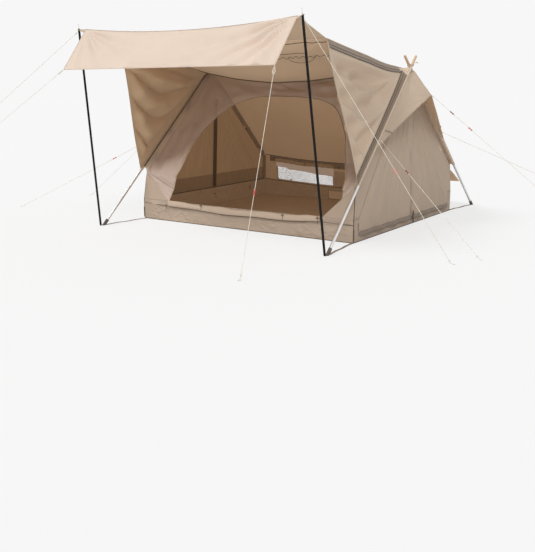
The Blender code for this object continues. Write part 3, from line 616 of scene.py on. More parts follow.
def ridge_height(across):
    return 1.47832 - ridge_sag * (1 - (across / ridge_half) ** 2)


def rolled(turn, share):
    across = between(-1.186, 1.186, share)
    radius = 0.0036 + 0.0004 * sin(150 * share)
    angle = tau * turn
    return vec(across, radius * cos(angle), ridge_height(across) + radius * sin(angle))


cloth("ridge_roll", 12, 160, rolled, lambda place: place - vec(place.x, 0, ridge_height(place.x)),
      [canvas_trim], closed=True, slot="webbing", node="ridge_tape")


# Floor tub: coated groundsheet, a flat floor with 0.2 m walls welded in one piece, and a canvas gusset in
# each front corner. The walls slacken and crease between the corners that the straps pull.
tub_half = 1.217
tub_reach = 1.089
tub_height = 0.2
rim_height = 0.2004
floor_height = 0.0012
net_hang = 0.0045
net_reach = 1.05
gable_lean = 0.0645
gable_rise = crossing_height - tub_height


def mirrored(point, side):
    return vec(side * point.x, point.y, point.z)


def net_point(across, fall):
    """`fall` is 0 at the ridge, 1 at the inner eave and 2 on the rim of the tub."""
    slope = min(fall, 1.0)
    reach = slope * net_reach
    height = between(ridge_height(across) - net_hang, 0.455, slope) - 0.03 * 4 * slope * (1 - slope)
    margin = max(0.0, (abs(across) - beside_sleeve(-1, reach) + 0.102) / 0.102)
    lifted = min(1.0, margin) * min(1.0, reach / 0.08)
    height = between(height, pole_plane(reach), lifted)
    wall = max(0.0, fall - 1.0)
    return vec(across, -between(reach, tub_reach, wall), between(height, rim_height, wall))


gusset_foot = vec(0.900, -tub_reach, tub_height)
gusset_top = net_point(1.2, 1.082)
coated = woven_skin("coated groundsheet", (0.435, 0.340, 0.262), scale=700, sheen=0.03, depth=0.0002)
for socket, value in (("Coat Weight", 0.30), ("Coat Roughness", 0.38)):
    coated.node_tree.nodes["Principled BSDF"].inputs[socket].default_value = value
# Darker copies of the groundsheet and tub wall seen from inside: painted shade, with glow as painted light.
floor_inside = woven_skin("coated groundsheet from inside", (0.345, 0.222, 0.127), scale=700, glow=0.165)
wall_inside = woven_skin("tub wall from inside", (0.385, 0.262, 0.163), scale=700, glow=0.17)
gusset_canvas = woven_skin("gusset canvas", (0.455, 0.352, 0.268))
rim_piping = new_skin("dark seam tape", (0.10, 0.072, 0.052), 0.8)[0]


def slack(u, v, seed):
    """Long creases along a tub wall, with a few short upright ones."""
    wave = 0.011 * rough(u * 7, v * 1.6, seed)
    pinch = 0.016 * max(0.0, rough(u * 24, v * 2.2 + u * 9, seed + 7) - 0.08)
    crest = 0.007 * max(0.0, 1 - 9 * abs(rough(u * 15 + v * 2, v * 2.4, seed + 3)))
    crest += 0.004 * max(0.0, 1 - 7 * abs(rough(u * 34 - v * 3, v * 4, seed + 11)))
    return (wave + pinch + crest - 0.005) * ease(min(u, 1 - u) / 0.04) * ease(min(v, 1 - v) / 0.2)


def slump(across, height):
    """How far the slack back wall and eave hang down between their corners."""
    if height < 0.5:
        deep = 0.048 * height / 0.2 if height < 0.2 else between(0.048, 0.062, (height - 0.2) / 0.3)
    else:
        deep = 0.062 * (1 - (height - 0.5) / 0.95) ** 2
    return deep * max(0.0, 1 - (across / 1.2) ** 2)


def let_down(piece):
    """Lowers what is at the back by that much."""
    for vert in piece.data.vertices:
        vert.co.z -= slump(vert.co.x, vert.co.z)


round_from_front_left = ((-1, -1), (1, -1), (1, 1), (-1, 1))
corners = [vec(east * tub_half, north * tub_reach, 0) for east, north in round_from_front_left]
for number, name in enumerate(("front", "right", "back", "left")):
    start = corners[number]
    stop = corners[(number + 1) % 4]
    cloth(f"tub_wall_{name}", 260, 26,
          lambda u, v: vec(*between(start, stop, u).xy, between(floor_height, tub_height, v)), start + stop,
          [coated, wall_inside], lambda u, v: slack(u, v, number * 3.1), slot="floor_cloth",
          rests_on=[f"base_strap_front_{hand}" for hand in sides],
          change=let_down if name == "back" else None)
cloth("tub_ground", 80, 70,
      lambda u, v: vec(between(-tub_half, tub_half, u), between(-tub_reach, tub_reach, v), floor_height),
      (0, 0, -1), [coated, floor_inside],
      lambda u, v: -abs(ripple(u, v, (9, 8), 0.009, 2.2) + ripple(u, v, (26, 22), 0.004, 5.1)) * sewn(u, v),
      slot="floor_cloth", node="tub_floor", held="laid", rests_on=["tub_floor"])
for hand, side in sides.items():
    foot = mirrored(gusset_foot, side)
    toe = vec(side * tub_half, -tub_reach, tub_height)
    peak = mirrored(gusset_top, side)
    cloth(f"gusset_{hand}", 24, 24, lambda u, v: between(between(foot, toe, u), peak, v), (0, -1, 0),
          [gusset_canvas, canvas_inner], lambda u, v: ripple(u, v, (5, 3), 0.006, side) * sewn(u, v, 0.2),
          rests_on=["tub_wall_front"])


def front_droop(across):
    """How high the front wall's edge is: it slumps under the rolled door between the gussets."""
    return 0.130 + 0.030 * min(1.0, abs(across) / 0.95) ** 2 + 0.004 * sin(across * 9)


def round_tub(height, front=False):
    """A line along the tub's front, or round its other three sides."""
    found = []
    for start, stop in ((0, 1),) if front else ((1, 2), (2, 3), (3, 4)):
        for share in shares(60)[:None if stop in (1, 4) else -1]:
            place = between(corners[start], corners[stop % 4], share)
            rise = height(place.x)
            if start == 2:
                rise -= slump(place.x, rise)
            wide = 1.001 if front else 0.9975 if rise > 0.05 else 1.0025
            found.append(vec(place.x * wide, place.y * (1.001 if rise > 0.05 else 1.0025), rise))
    return found


# The two foot lines are painted shade: dark tubes round the tub's foot, where it meets the floor.
lines = {"tub_rim_piping": (round_tub(lambda across: 0.197 + 0.001 * sin(across * 31)), 0.0036),
         "tub_front_seam": ([place - vec(0, 0.013, 0) * ease((1.2 - abs(place.x)) / 0.2)
                             for place in round_tub(front_droop, True)], 0.0024),
         "tub_foot_piping": (round_tub(lambda across: 0.0034), 0.0028),
         "tub_front_foot": (round_tub(lambda across: 0.0034, True), 0.0028)}
for hand, side in sides.items():
    climb = []
    for height in [0.02 + 0.42 * share for share in shares(30)]:
        above = max(0.0, height - tub_height)
        across = 1.2185 - gable_lean * above / gable_rise
        climb.append(vec(side * across, -1.0895 + 0.153 * above, height))
    stay = [vec(side * 1.221, -1.091, 0.015 + 0.105 * share) for share in shares(8)]
    lines |= {f"corner_piping_{hand}": (climb, 0.0034), f"corner_stay_{hand}": (stay, 0.0058)}
for name, (route, thick) in lines.items():
    tube(name, route, thick, rim_piping, "floor_cloth")


# Front net: fine insect netting in one piece, hung under the ridge and sewn to the front sleeves and the
# gussets, with a wide round doorway bound in canvas tape.
def net_group():
    """A fine mesh of crossing threads, as a mask, with clouds where it doubles up."""
    tree, given, result = group("insect netting", {"Cut": "Vector", "Cover": "Float"}, {"Mask": "Float"})
    cloud = add(tree, "TexNoise", given["Cut"], scale=2.5, detail=4)["Fac"]
    cover = add(tree, "Math", given["Cover"], -0.125, operation="ADD")[0]
    clouded = weighed(tree, cloud, 0.25, cover)
    thread = crossed(tree, given["Cut"], 210)
    feed(tree, result["Mask"], add(tree, "Math", thread, clouded, operation="GREATER_THAN")[0])
    return tree


def net_skin(name, colour, cover):
    """`cover` is the height of the thread's wave where the net opens: higher is more see-through."""
    skin, shader = new_skin(name, colour, 0.9, {"Specular IOR Level": 0.1})
    tree = skin.node_tree
    cut = add(tree, "UVMap", uv_map="cut")["UV"]
    feed(tree, shader.inputs["Alpha"], add(tree, "Group", node_tree=netting, cut=cut, cover=cover)["Mask"])
    return skin


netting = net_group()
front_net_skin = net_skin("door netting", (0.71, 0.575, 0.495), 0.72)


def through(knots, count):
    """A smooth line through knots, as evenly spaced points."""
    fine = []
    ends_added = [knots[0] * 2 - knots[1]] + knots + [knots[-1] * 2 - knots[-2]]
    for a, b, c, d in zip(ends_added, ends_added[1:], ends_added[2:], ends_added[3:]):
        for t in shares(24)[:-1]:
            fine.append(0.5 * (2 * b + (c - a) * t + (2 * a - 5 * b + 4 * c - d) * t * t
                               + (3 * b - a - 3 * c + d) * t ** 3))
    fine.append(knots[-1])
    far = [0.0]
    for a, b in zip(fine, fine[1:]):
        far.append(far[-1] + (b - a).length)
    found = []
    spot = 0
    for goal in [share * far[-1] for share in shares(count)]:
        while spot < len(far) - 2 and far[spot + 1] < goal:
            spot += 1
        found.append(between(fine[spot], fine[spot + 1], (goal - far[spot]) / (far[spot + 1] - far[spot])))
    return found


# Half a doorway: its foot on the gusset, how far along the gusset the net starts, and its edge up to the
# middle. The right jamb is drawn aside, along the gusset, and the left one hangs free.
half_doorways = {
    -1: ((0.880, 2.0), 0.0, ((0.826, 1.5), (0.809, 0.99), (0.848, 0.78), (0.858, 0.64), (0.787, 0.429),
                             (0.659, 0.285), (0.46, 0.2), (0.25, 0.177), (0, 0.174))),
    1: ((1.088, 1.37), 0.66, ((1.096, 1.06), (1.06, 0.913), (0.98, 0.786), (0.895, 0.65), (0.82, 0.53),
                              (0.616, 0.32), (0.42, 0.225), (0.22, 0.19), (0, 0.174))),
}


def net_pairs(side):
    """Pairs of an outer and an inner point of half the net, from the doorway's foot up to the ridge."""
    foot, first, knots = half_doorways[side]
    knots = [Vector(knot) for knot in knots]
    found = []
    for share in shares(12):
        outer = between(gusset_foot, gusset_top, between(first, 1.0, share)) + vec(-0.0006, 0, 0.0004)
        found.append((outer, net_point(*between(Vector(foot), knots[0], share))))
    falls = [0.06 + 0.94 * share for share in shares(30)][::-1]
    outline = [(beside_sleeve(-1, fall * net_reach), fall) for fall in falls]
    outline += [(ridge_half * share, 0.0) for share in shares(24)[::-1]]
    return found + list(zip(outline, through(knots, len(outline) - 1)))


def front_net_place(stop, share):
    side, (outer, inner) = stop
    if isinstance(outer, Vector):
        return mirrored(between(inner, outer, share), side)
    return mirrored(net_point(*(between(a, b, share) for a, b in zip(inner, outer))), side)


def press(piece):
    """Hangs a piece on the root, with a mesh of its own."""
    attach(piece, "root")
    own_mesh(piece)


doorway_round = [(-1, pair) for pair in net_pairs(-1)] + [(1, pair) for pair in net_pairs(1)[-2::-1]]
press(cloth("front_net", doorway_round, 14, front_net_place, (0, -1, 1), [front_net_skin],
            lambda u, v: (ripple(u, v, (30, 3), 0.022, 3.3)
                          + ripple(u + 0.12 * v, v, (44, 2), 0.014, 6.1)) * sewn(u, v, 0.12),
            0.0004, slot="net", body=None, node="front_mesh", rests_on=["ridge_roll"]))
binding_skin = woven_skin("canvas binding", (0.47, 0.355, 0.255))
arch_line = [front_net_place(stop, 0.0) for stop in doorway_round]


def arch_tape(number, share):
    place = arch_line[number]
    inward = (arch_line[min(number + 1, len(arch_line) - 1)] - arch_line[max(number - 1, 0)]).normalized()
    sideways = inward.cross(vec(0, -0.72, 0.69)).normalized()
    return place + sideways * 0.011 * (share - 0.5) + vec(0, -0.0012, 0.0012)


press(cloth("arch_binding", range(len(arch_line)), 2, arch_tape, (0, -1, 1), [binding_skin], wall=0.0010,
            body=None))
for hand, side in sides.items():
    def facing_strip(u, v):
        fall = between(0.035, 1.0, u)
        across = beside_sleeve(-1, fall * net_reach) - 0.055 * v * min(1.0, fall / 0.2)
        return mirrored(net_point(across, fall), side) + vec(0, -0.0022, 0.0022)

    press(cloth(f"net_facing_{hand}", 60, 5, facing_strip, (0, -1, 1), [canvas_outer, canvas_inner],
                lambda u, v: ripple(u, v, (40, 2), 0.002, side * 6.6), body=None, rests_on=["front_net"]))
    zip_route = [facing_strip(u, 0.02) + vec(0, -0.0035, 0.0035) for u in shares(60)]
    press(tube(f"net_zip_{hand}", zip_route, 0.0042, rim_piping, "canvas", None))


# Door sill: the net door, rolled down and held in front of the tub's rim by four cord ties with turned
# wooden toggles.
toggle_wood = speckled_skin("dark wooden toggle", (0.09, 0.065, 0.05), 0.5, 0.7, 300, 0.0004)


def toggle(name, place, along):
    """A turned wooden peg through a loop of cord."""
    half = 0.014
    profile = [(0.0, -half), (0.0028, -half), (0.0036, -half + 0.002), (0.0036, -0.003), (0.0026, -0.001)]
    profile += [(radius, -distance) for radius, distance in profile[::-1]]
    put(turned(name, profile, place, along, toggle_wood, 12), "root")
    aside = along.cross(vec(0, 0.3, 1)).normalized()
    route = [place + aside * 0.0045 * cos(turn * tau) + vec(0, 0, 0.012) * sin(turn * tau)
             for turn in shares(16)[:-1]]
    tube(f"{name}_loop", route, 0.0011, toggle_wood, "wood", closed=True)


def sill_place(u, v):
    across = between(-0.885, 0.885, u)
    low = front_droop(across) + 0.001
    high = 0.192 + 0.016 * (across / 0.885) ** 2 + 0.004 * sin(u * 21)
    high += 0.006 * rough(u * 12, 0, 4.4)
    bulge = 0.009 * sin(pi * v) + 0.003 * rough(u * 30, v * 2, 1.4)
    return vec(across, -1.0985 - bulge, between(low, high, v))


sill_canvas = woven_skin("rolled door canvas", (0.535, 0.42, 0.325))
cloth("rolled_net_door", 150, 12, sill_place, (0, -1, 0), [sill_canvas, canvas_inner], held="folded",
      rests_on=["tub_wall_front"])
for number, (across, height) in enumerate(((-0.9, 0.158), (-0.45, 0.196), (0.50, 0.188), (0.87, 0.194))):
    toggle(f"sill_toggle_{number}", vec(across, -1.114, height), vec(1, 0, 0.2))
    route = [vec(across, -1.111, height - 0.045 * share) for share in shares(2)]
    tube(f"sill_tie_{number}", route, 0.0014, toggle_wood, "cord")


# Back roof: one panel of canvas from the ridge to the eave, sewn to both back sleeves. It starts on the
# back of the ridge tape.
tape_radius = 0.0039
eave_reach = 1.08


def roof_height(across, reach):
    start = tape_radius * sin(lean)
    hang = tape_radius * cos(lean)
    down = (reach - start) / (eave_reach - start)
    edge = beside_sleeve(1, start)
    spread = across / beside_sleeve(1, reach)
    corner_drop = pole_plane(start) - (ridge_height(edge) - hang)
    ridge_dip = ridge_height(edge) - ridge_height(spread * edge)
    billow = 0.02 * 4 * down * (1 - down) * (1 - spread ** 2)
    return pole_plane(reach) - corner_drop * (1 - down) ** 6 - ridge_dip * (1 - down) - billow


def back_roof_place(u, v):
    reach = between(tape_radius * sin(lean), eave_reach, v ** 1.3)
    across = (2 * u - 1) * beside_sleeve(1, reach)
    return vec(across, reach, roof_height(across, reach))


def roof_crease(u, v):
    pulled = two_fans(u, v, 0, (2.4, 1.5), 26, 0.005, 0.5)
    pulled += two_fans(u, v, 1, (2.4, 1.5), 20, 0.004, 0.4)
    return (pulled + ripple(u, v, (7, 5), 0.006, 6.1)) * sewn(u, v)


cloth("back_roof_panel", 96, 64, back_roof_place, (0, 1, 1), [canvas_outer, canvas_inner], roof_crease,
      change=let_down, node="back_roof", rests_on=["ridge_roll"])


# Back wall: a strip of canvas between the tub's rim and the eave, with two net windows whose covers are
# rolled up above them and tied with toggles. A pocket hangs inside.
eave_height = 0.49938
cover_height = 0.450


def wall_reach(height):
    return between(tub_reach, 1.072, (height - rim_height) / (eave_height - rim_height))


def wall_top(across):
    return roof_height(across, 1.0728) - 0.0008 / sin(lean) - 0.0004


def gable_plane(height):
    """How far out the gable wall is: upright beside the tub, then leaning in."""
    return tub_half - gable_lean * max(0.0, height - tub_height) / gable_rise


def back_wall_place(across, height):
    height = min(height, wall_top(across))
    edge = gable_plane(height) - 0.0012
    return vec(max(-edge, min(edge, across)), wall_reach(height), height)


def stops(*runs):
    """Stops from one value to the next, each run in its own count of steps."""
    found = [runs[0][0]]
    for start, stop, steps in runs:
        found += [between(start, stop, share) for share in shares(steps)[1:]]
    return found


cloth("back_wall_panel",
      stops((-1.217, -1.02, 6), (-1.02, -0.24, 26), (-0.24, 0.24, 14), (0.24, 1.02, 26), (1.02, 1.217, 6)),
      stops((rim_height, 0.218, 1), (0.218, 0.385, 8), (0.385, 0.52, 8)), back_wall_place, (0, 1, 0),
      [canvas_outer, shaded_inner], lambda u, v: ripple(u, v, (30, 3), 0.0022, 8.8) * sewn(u, v),
      cut_out=lambda spot: 0.24 < abs(spot.x) < 1.02 and 0.218 < spot.z < 0.385,
      change=let_down, node="back_wall", rests_on=["tub_wall_back"])
valance_skin = woven_skin("thin lining with light behind", (0.50, 0.385, 0.295), glow=0.36)


def window_place(u, v):
    height = between(0.205, 0.392, v)
    return vec(between(-1.038, 1.038, u), wall_reach(height) - 0.0018, height)


cloth("window_net", 80, 10, window_place, (0, 1, 0), [net_skin("window netting", (0.66, 0.57, 0.48), 0.93)],
      lambda u, v: -abs(ripple(u, v, (30, 4), 0.0018, 9.1)) * sewn(u, v), 0.0003,
      change=let_down, slot="net", node="window_mesh", rests_on=["back_wall_panel"])
# A darker copy of the canvas for the rolled covers: painted shade, with glow as painted light.
rolled_inner = woven_skin("rolled window cover", (0.30, 0.195, 0.112), glow=0.26)
for hand, side in sides.items():
    roll_reach = wall_reach(cover_height) - 0.024

    def rolled_cover(turn, share):
        angle = tau * turn
        radius = 0.021 + 0.004 * rough(share * 14, turn * 2, side * 2.0)
        radius += 0.0020 * sin(2 * angle + 60 * share)
        centre = vec(side * between(0.22, 1.04, share), roll_reach, cover_height + 0.004 * sin(share * 9))
        return centre + vec(0, 0.75 * radius * cos(angle), radius * sin(angle))

    cover = sheet(f"window_cover_{hand}", 12, 60, rolled_cover,
                  lambda place: place - vec(place.x, roll_reach, cover_height), [rolled_inner],
                  closed=True)[0]
    let_down(cover)
    put(cover, "root")

    def valance_place(u, v):
        low = between(0.327, 0.377, u) + 0.003 * sin(u * 17)
        height = between(0.432, low, v)
        return vec(side * between(0.225, 1.035, u), wall_reach(height) - 0.005 - 0.006 * v, height)

    cloth(f"window_valance_{hand}", 60, 8, valance_place, (0, -1, 0), [valance_skin],
          lambda u, v: ripple(u, v, (18, 2), 0.004, side) * ease(v / 0.5), change=let_down, held="hung",
          rests_on=["back_wall_panel"])
    for number, (across, height, proud, upright_one) in enumerate((
            (1.064, 0.450, 0.012, True), (0.597, 0.412, 0.045, False), (0.152, 0.387, 0.012, True),
            (0.818, 0.205, 0.012, False), (0.118, 0.158, 0.030, False))):
        place = vec(side * across, wall_reach(0.40) - proud, height)
        toggle(f"window_toggle_{hand}_{number}", place, Vector((0.2, 0, 1) if upright_one else (1, 0, 0.15)))


def pocket_place(u, v):
    across = between(-0.29, -0.09, u)
    bulge = 0.018 * sin(pi * u) * (0.5 + 0.5 * v)
    return vec(across, 1.070 - bulge, between(0.018, 0.152, v) - 0.006 * sin(pi * u) * v)


pocket, cut = sheet("storage_pocket", 24, 14, pocket_place, (0, -1, 0), [shaded_inner],
                    lambda u, v: ripple(u, v, (6, 4), 0.004, 1.9) * sewn(u, v, 0.1))
let_down(pocket)
pocket_edge = [pocket_place(0, 1 - v) for v in shares(6)] + [pocket_place(u, 0) for u in shares(12)[1:]]
pocket_edge += [pocket_place(1, v) for v in shares(6)[1:]]
pocket_edge += [pocket_place(1 - u, 1) for u in shares(12)[1:-1]]
let_down(tube("storage_pocket_hem", pocket_edge, 0.0024, rim_piping, "canvas", closed=True))
put(pocket, "root")
cloth("eave_band", 60, 4,
      lambda u, v: back_wall_place((2 * u - 1) * 1.13, between(0.428, 0.494, v)) - vec(0, 0.0045, 0),
      (0, -1, 0), [facing_canvas], change=let_down)
eave_line = [back_wall_place((2 * share - 1) * 1.19, 0.52) - vec(0, 0.006, 0.004) for share in shares(60)]
let_down(tube("eave_seam", eave_line, 0.003, rim_piping, "canvas"))
for hand, side in sides.items():
    def corner_place(u, v):
        height = between(0.205, 0.49, v)
        reach = between(1.012, wall_reach(height) - 0.004, u)
        return vec(side * (gable_plane(height) - 0.0062), reach, height)

    cloth(f"corner_strip_{hand}", 4, 16, corner_place, (-side, 0, 0), [facing_canvas])


# Back awning: a strip of canvas along the back eave that sheds rain over the windows.
back_slope = radians(27)


def back_awning_place(u, v):
    out = 0.0004 + v * 0.5
    across = (2 * u - 1) * 1.15
    sag = slump(across, 0.5) * (1 - 0.8 * ease(v / 0.6))
    return vec(across, 1.0806 + out * cos(back_slope), eave_height - out * sin(back_slope) - sag)


def back_awning_crease(u, v):
    return (0.010 * sin(pi * u) * v - 0.004 + ripple(u, v, (9, 3), 0.008, 4.7)) * ease(v / 0.3)


back_awning = cloth("back_awning_panel", 64, 16, back_awning_place, (0, 0.3, 1),
                    [canvas_outer, canvas_inner], back_awning_crease, body=None, node="back_awning",
                    rests_on=["back_roof_panel"])
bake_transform(back_awning)


# Gable frames: canvas round each gable's door opening, sewn to the tub's rim, the net, the ridge and the
# back roof.
door_slant = atan2(1.0, 1.0 - 0.167)
head_height = 1.2 - 0.015


def door_edge(height):
    """How far from the middle of the gable a door's sloping hinge line is."""
    return between(1.0, 0.167, max(0.0, height - tub_height))


def net_height(across, reach):
    return net_point(across, reach / net_reach).z


def under(follow, reach, tuck):
    """The height at which the gable meets the sheet above it."""
    height = pole_plane(reach)
    for _ in range(4):
        height = follow(gable_plane(height), reach) - tuck
    return height


def gable_pairs(end):
    """Pairs of an outer and an inner (y, height), from the tub's rim up to the door's head."""
    if end < 0:
        tuck = 0.0017
        foot = vec(tub_reach - tuck, rim_height)
        shoulder = vec(-gusset_top.y - tuck, gusset_top.z)
        outline = [tuple(between(foot, shoulder, share)) for share in shares(8)]
        outline += [(reach - tuck, under(net_height, reach, 0.006))
                    for reach in [net_reach * between(1.0, 0.12, share) for share in shares(24)]]
    else:
        outline = [tuple(vec(wall_reach(height), height))
                   for height in [between(rim_height, 0.485, share) for share in shares(8)]]
        outline += [(reach, under(roof_height, reach, 0.0025))
                    for reach in [1.072 * between(1.0, 0.12, share) for share in shares(24)]]
    shoulder = outline[-3][1]
    found = []
    for reach, height in outline:
        inner_height = between(rim_height, head_height, (height - rim_height) / (shoulder - rim_height))
        inner_height = min(head_height, inner_height)
        inner_reach = door_edge(inner_height) - 0.015 / sin(door_slant)
        if height > shoulder:
            inner_reach /= 2
        found.append(((end * reach, height), (end * inner_reach, inner_height)))
    return found


apex_height = under(lambda x, y: ridge_height(x), 0.0, 0.007)
gable_round = gable_pairs(-1) + [((0.0, apex_height), (0.0, head_height))] + gable_pairs(1)[::-1]
for hand, side in sides.items():
    def gable_place(pair, share):
        outer, inner = pair
        reach, height = (between(a, b, share) for a, b in zip(inner, outer))
        return vec(side * gable_plane(height), reach, height)

    cloth(f"gable_frame_{hand}", gable_round, 10, gable_place, (side, 0, 0), [canvas_in_shade, door_inner],
          lambda u, v: -abs(ripple(u, v, (40, 2), 0.004, side * 2.5)) * sewn(u, v, 0.1),
          node=f"gable_{hand}", rests_on=[f"tub_wall_{hand}"])

    for end_name, end in ends.items():
        def facing_place(u, v):
            """From the gable's inner face, up to its edge, and on to the underside of the pole sleeve."""
            reach = between(0.09, 1.045, u)
            if end < 0:
                height = under(net_height, reach, 0.006)
            else:
                height = under(roof_height, reach, 0.0045)
            inside = vec(side * (gable_plane(height) - 0.0022), end * (reach - 0.0017), height)
            if v <= 0.5:
                place = inside + vec(0, -end * 0.45, -1) * (0.030 if end < 0 else 0.060) * (1 - 2 * v)
                place.x = side * (gable_plane(place.z) - 0.0022)
                return place
            sleeve_side = pole_axis(side, end, pole_plane(reach))
            sleeve_side += vec(0, -end * cos(lean), -sin(lean)) * 0.0160
            return between(inside, sleeve_side, 2 * v - 1)

        cloth(f"facing_{end_name}_{hand}", 50, 6, facing_place, (side, 0, 0), [canvas_outer, facing_canvas],
              rests_on=[f"gable_frame_{hand}"])

    for number, (reach, height) in enumerate(((0.708, 0.845), (0.637, 0.824))):
        place = vec(side * (gable_plane(height) - 0.014), reach, height)
        toggle(f"door_toggle_{hand}_{number}", place, vec(0, -0.3, 1))

    def patch_place(u, v):
        height = between(1.385, 1.474, v)
        return vec(side * 1.191, (2 * u - 1) * (pole_reach * (1 - height / crossing_height) + 0.008), height)

    # Its inner side takes the dark zip tape's colour: painted shade at the gable's apex.
    cloth(f"apex_patch_{hand}", 10, 10, patch_place, (side, 0, 0), [canvas_in_shade, zip_tape])


# Gable doors: two leaves of canvas on each gable, sewn along the sloping edges, zipped to each other in
# the middle and hanging in upright folds over the tub's wall. A zip's coil runs up the front leaf's edge.
hem_canvas = woven_skin("proofed door hem", (0.280, 0.217, 0.170))
zip_facing = woven_skin("zip facing inside", (0.225, 0.165, 0.118))
zip_teeth = speckled_skin("dark coil zip", (0.075, 0.058, 0.045), 0.45, 0.65, 1400, 0.0004)
dress("zip_slider", speckled_skin("antiqued brass", (0.24, 0.20, 0.14), 0.35, 0.55, 700, 0.0002, 1.0))
pleated = 0.95
for hand, side in sides.items():
    outside = (side, 0, 0)
    for end_name, end in ends.items():
        seam = 0.1 + end * 0.0002
        door = f"door_{hand}_{end_name}"

        def leaf_place(u, v):
            height = between(0.05, 1.2, v)
            edge = end * door_edge(height)
            last_fold = seam + end * 0.015
            share = u / pleated
            if share < 1:
                depth = 0.012 * min(1.0, abs(last_fold - edge) / 0.6)
                fold = depth * sin(pi * 4 * share) ** 2
                across = between(edge, last_fold, share)
            else:
                fold = 0.0
                across = between(last_fold, seam, (u - pleated) / 0.05)
            return vec(side * (gable_plane(height) + 0.002 + fold), across, height)

        def leaf_crease(u, v):
            pleat = 0.0035 * sin(u * 61 + 5 * v + 2 * rough(u * 4, v * 2, end))
            pleat += 0.004 * rough(u * 16, v * 3.5, side * 3 + end)
            pleat = (0.0035 + pleat) * ease(u / 0.08) * ease((pleated - u) / 0.08)
            return pleat * (0.35 + 0.65 * ease(v / 0.5))

        cloth(door, 100, 60, leaf_place, outside, [canvas_in_shade, door_inner], leaf_crease, body=door,
              node=f"door_leaf_{hand}_{end_name}", held="hung", rests_on=[f"gable_frame_{hand}"])
        cloth(f"door_hem_{hand}_{end_name}", 60, 3,
              lambda u, v: leaf_place(u * 0.99, v * 0.036) + vec(side * 0.0058, 0, 0), outside, [hem_canvas],
              body=door)
        if end > 0:
            continue
        route = [leaf_place(1.0, v) + vec(side * 0.0018, -0.003, 0) for v in shares(60)]
        tube(f"door_zip_{hand}", route, 0.0016, zip_teeth, "zip_metal", door)
        strips = (("inside", zip_facing, 0.064, 0.206), ("storm", canvas_in_shade, 0.034, 0.05))
        for face, skin, wide, low in strips:
            def strip_place(u, v):
                height = between(low, 1.18, v)
                proud = -0.0016 if face == "inside" else 0.0050 + 0.0015 * sin(26 * v)
                return vec(side * (gable_plane(height) + 0.002 + proud), 0.099 - wide * (1 - u), height)

            cloth(f"door_{face}_strip_{hand}", 4, 60, strip_place, outside, [skin, zip_tape], body=door)

    def buckle_place(u, v):
        return vec(side * (1.237 + 0.002 * sin(9 * v)), 0.096 + 0.010 * u, between(0.018, 0.128, v))

    cloth(f"door_buckle_{hand}", [-1, 0, 1], 12, buckle_place, outside, [rim_piping], wall=0.004,
          slot="webbing", body=f"door_{hand}_front")


# Gable hoods: a small awning of canvas over each pair of doors, sewn to the outer flanks of the sleeves
# and drawn out by its own guyline.
hood_out = vec(1.41, 0, 1.233)
sleeve_out = 0.0157
# The hoods take a darker copy of the canvas: painted shade.
hood_canvas = woven_skin("hood canvas", (0.505, 0.397, 0.302))
for hand, side in sides.items():
    def hood_place(u, v):
        spread = 2 * u - 1
        flank = pole_axis(side, -1 if spread < 0 else 1, between(1.42, 0.785, v))
        flank.x += side * sleeve_out
        middle = between(vec(side * 1.226, 0, 1.455), mirrored(hood_out, side), v)
        place = between(middle, flank, abs(spread))
        place.z += 0.006 * v * 4 * abs(spread) * (1 - abs(spread))
        return place

    def hood_crease(u, v):
        pulled = fan(u, v, (0.5, 1), (1.3, 0.5), 14, 0.005, 0.25)
        pulled += two_fans(u, v, 1, (1.3, 0.5), 12, 0.003, 0.2)
        pulled += ripple(u, v, (8, 3), 0.004, side * 1.3)
        return pulled * ease(min(u, 1 - u) / 0.08) * ease(v / 0.1)

    hood, cut = sheet(f"hood_{hand}", 80, 30, hood_place, (side, 0, 1), [hood_canvas, canvas_inner],
                      hood_crease)
    put(hood, "root", f"gable_hood_{hand}")
    for end_name, end, share in (("front", -1, 0.13), ("back", 1, 0.87)):
        sewn_end = hood_place(share, 0.99) + vec(side * 0.008, 0, 0)
        flank = pole_axis(side, end, 0.935) + vec(side * 0.0215, 0, 0)
        route = [between(sewn_end, flank, t) + vec(side * 0.009, 0, 0.002) * sin(pi * t) for t in shares(10)]
        tube(f"hood_tie_{end_name}_{hand}", route, 0.0022, rim_piping, "webbing")
    tube(f"hood_hem_{hand}", [hood_place(u, 1.0) for u in shares(60)], 0.0024, canvas_trim, "canvas")


# Canopy: the front roof sheet, from the ridge to a seam, with an upturned strip beyond it.
# The canopy's canvas is a lighter copy of the same cloth, painted light for its sunlit face; from below it
# is a copy that gives off light, painted light from behind.
canopy_outer = woven_skin("sunlit cotton canvas", (0.655, 0.535, 0.440))
canopy_under = woven_skin("cotton canvas with light behind", (0.56, 0.41, 0.27), glow=0.12)
half_width = 1.12
seam_height = 1.68
seam_reach = 1.42


def canopy_point(spread, out):
    """`spread` runs from -1 on the left to 1 on the right, and `out` from the ridge's 0 to the seam's 1."""
    across = spread * half_width
    climb = atan2(seam_height - ridge_height(across), seam_reach)
    start = vec(across, -tape_radius * cos(climb), ridge_height(across) + tape_radius * sin(climb))
    place = between(start, vec(across, -1.4198, seam_height), out)
    place.z -= 0.02 * 4 * out * (1 - out) * (1 - spread ** 2 / 2)
    place.z -= (0.090 * (1 - spread ** 2) + 0.010) * sin(pi * min(1.0, out / 0.56)) ** 2
    return place


def canopy_crease(u, v):
    return (two_fans(u, v, 1, (2.3, 1.5), 22, 0.006, 0.5) + ripple(u, v, (8, 4), 0.007, 2.9)) * sewn(u, v)


def under_canopy(spread, out, drop):
    """A point below the creased underside."""
    place = canopy_point(spread, out)
    place.z += canopy_crease((spread + 1) / 2, out) - drop
    return place


def swing(piece):
    """Bakes a piece's place into its mesh."""
    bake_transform(piece)


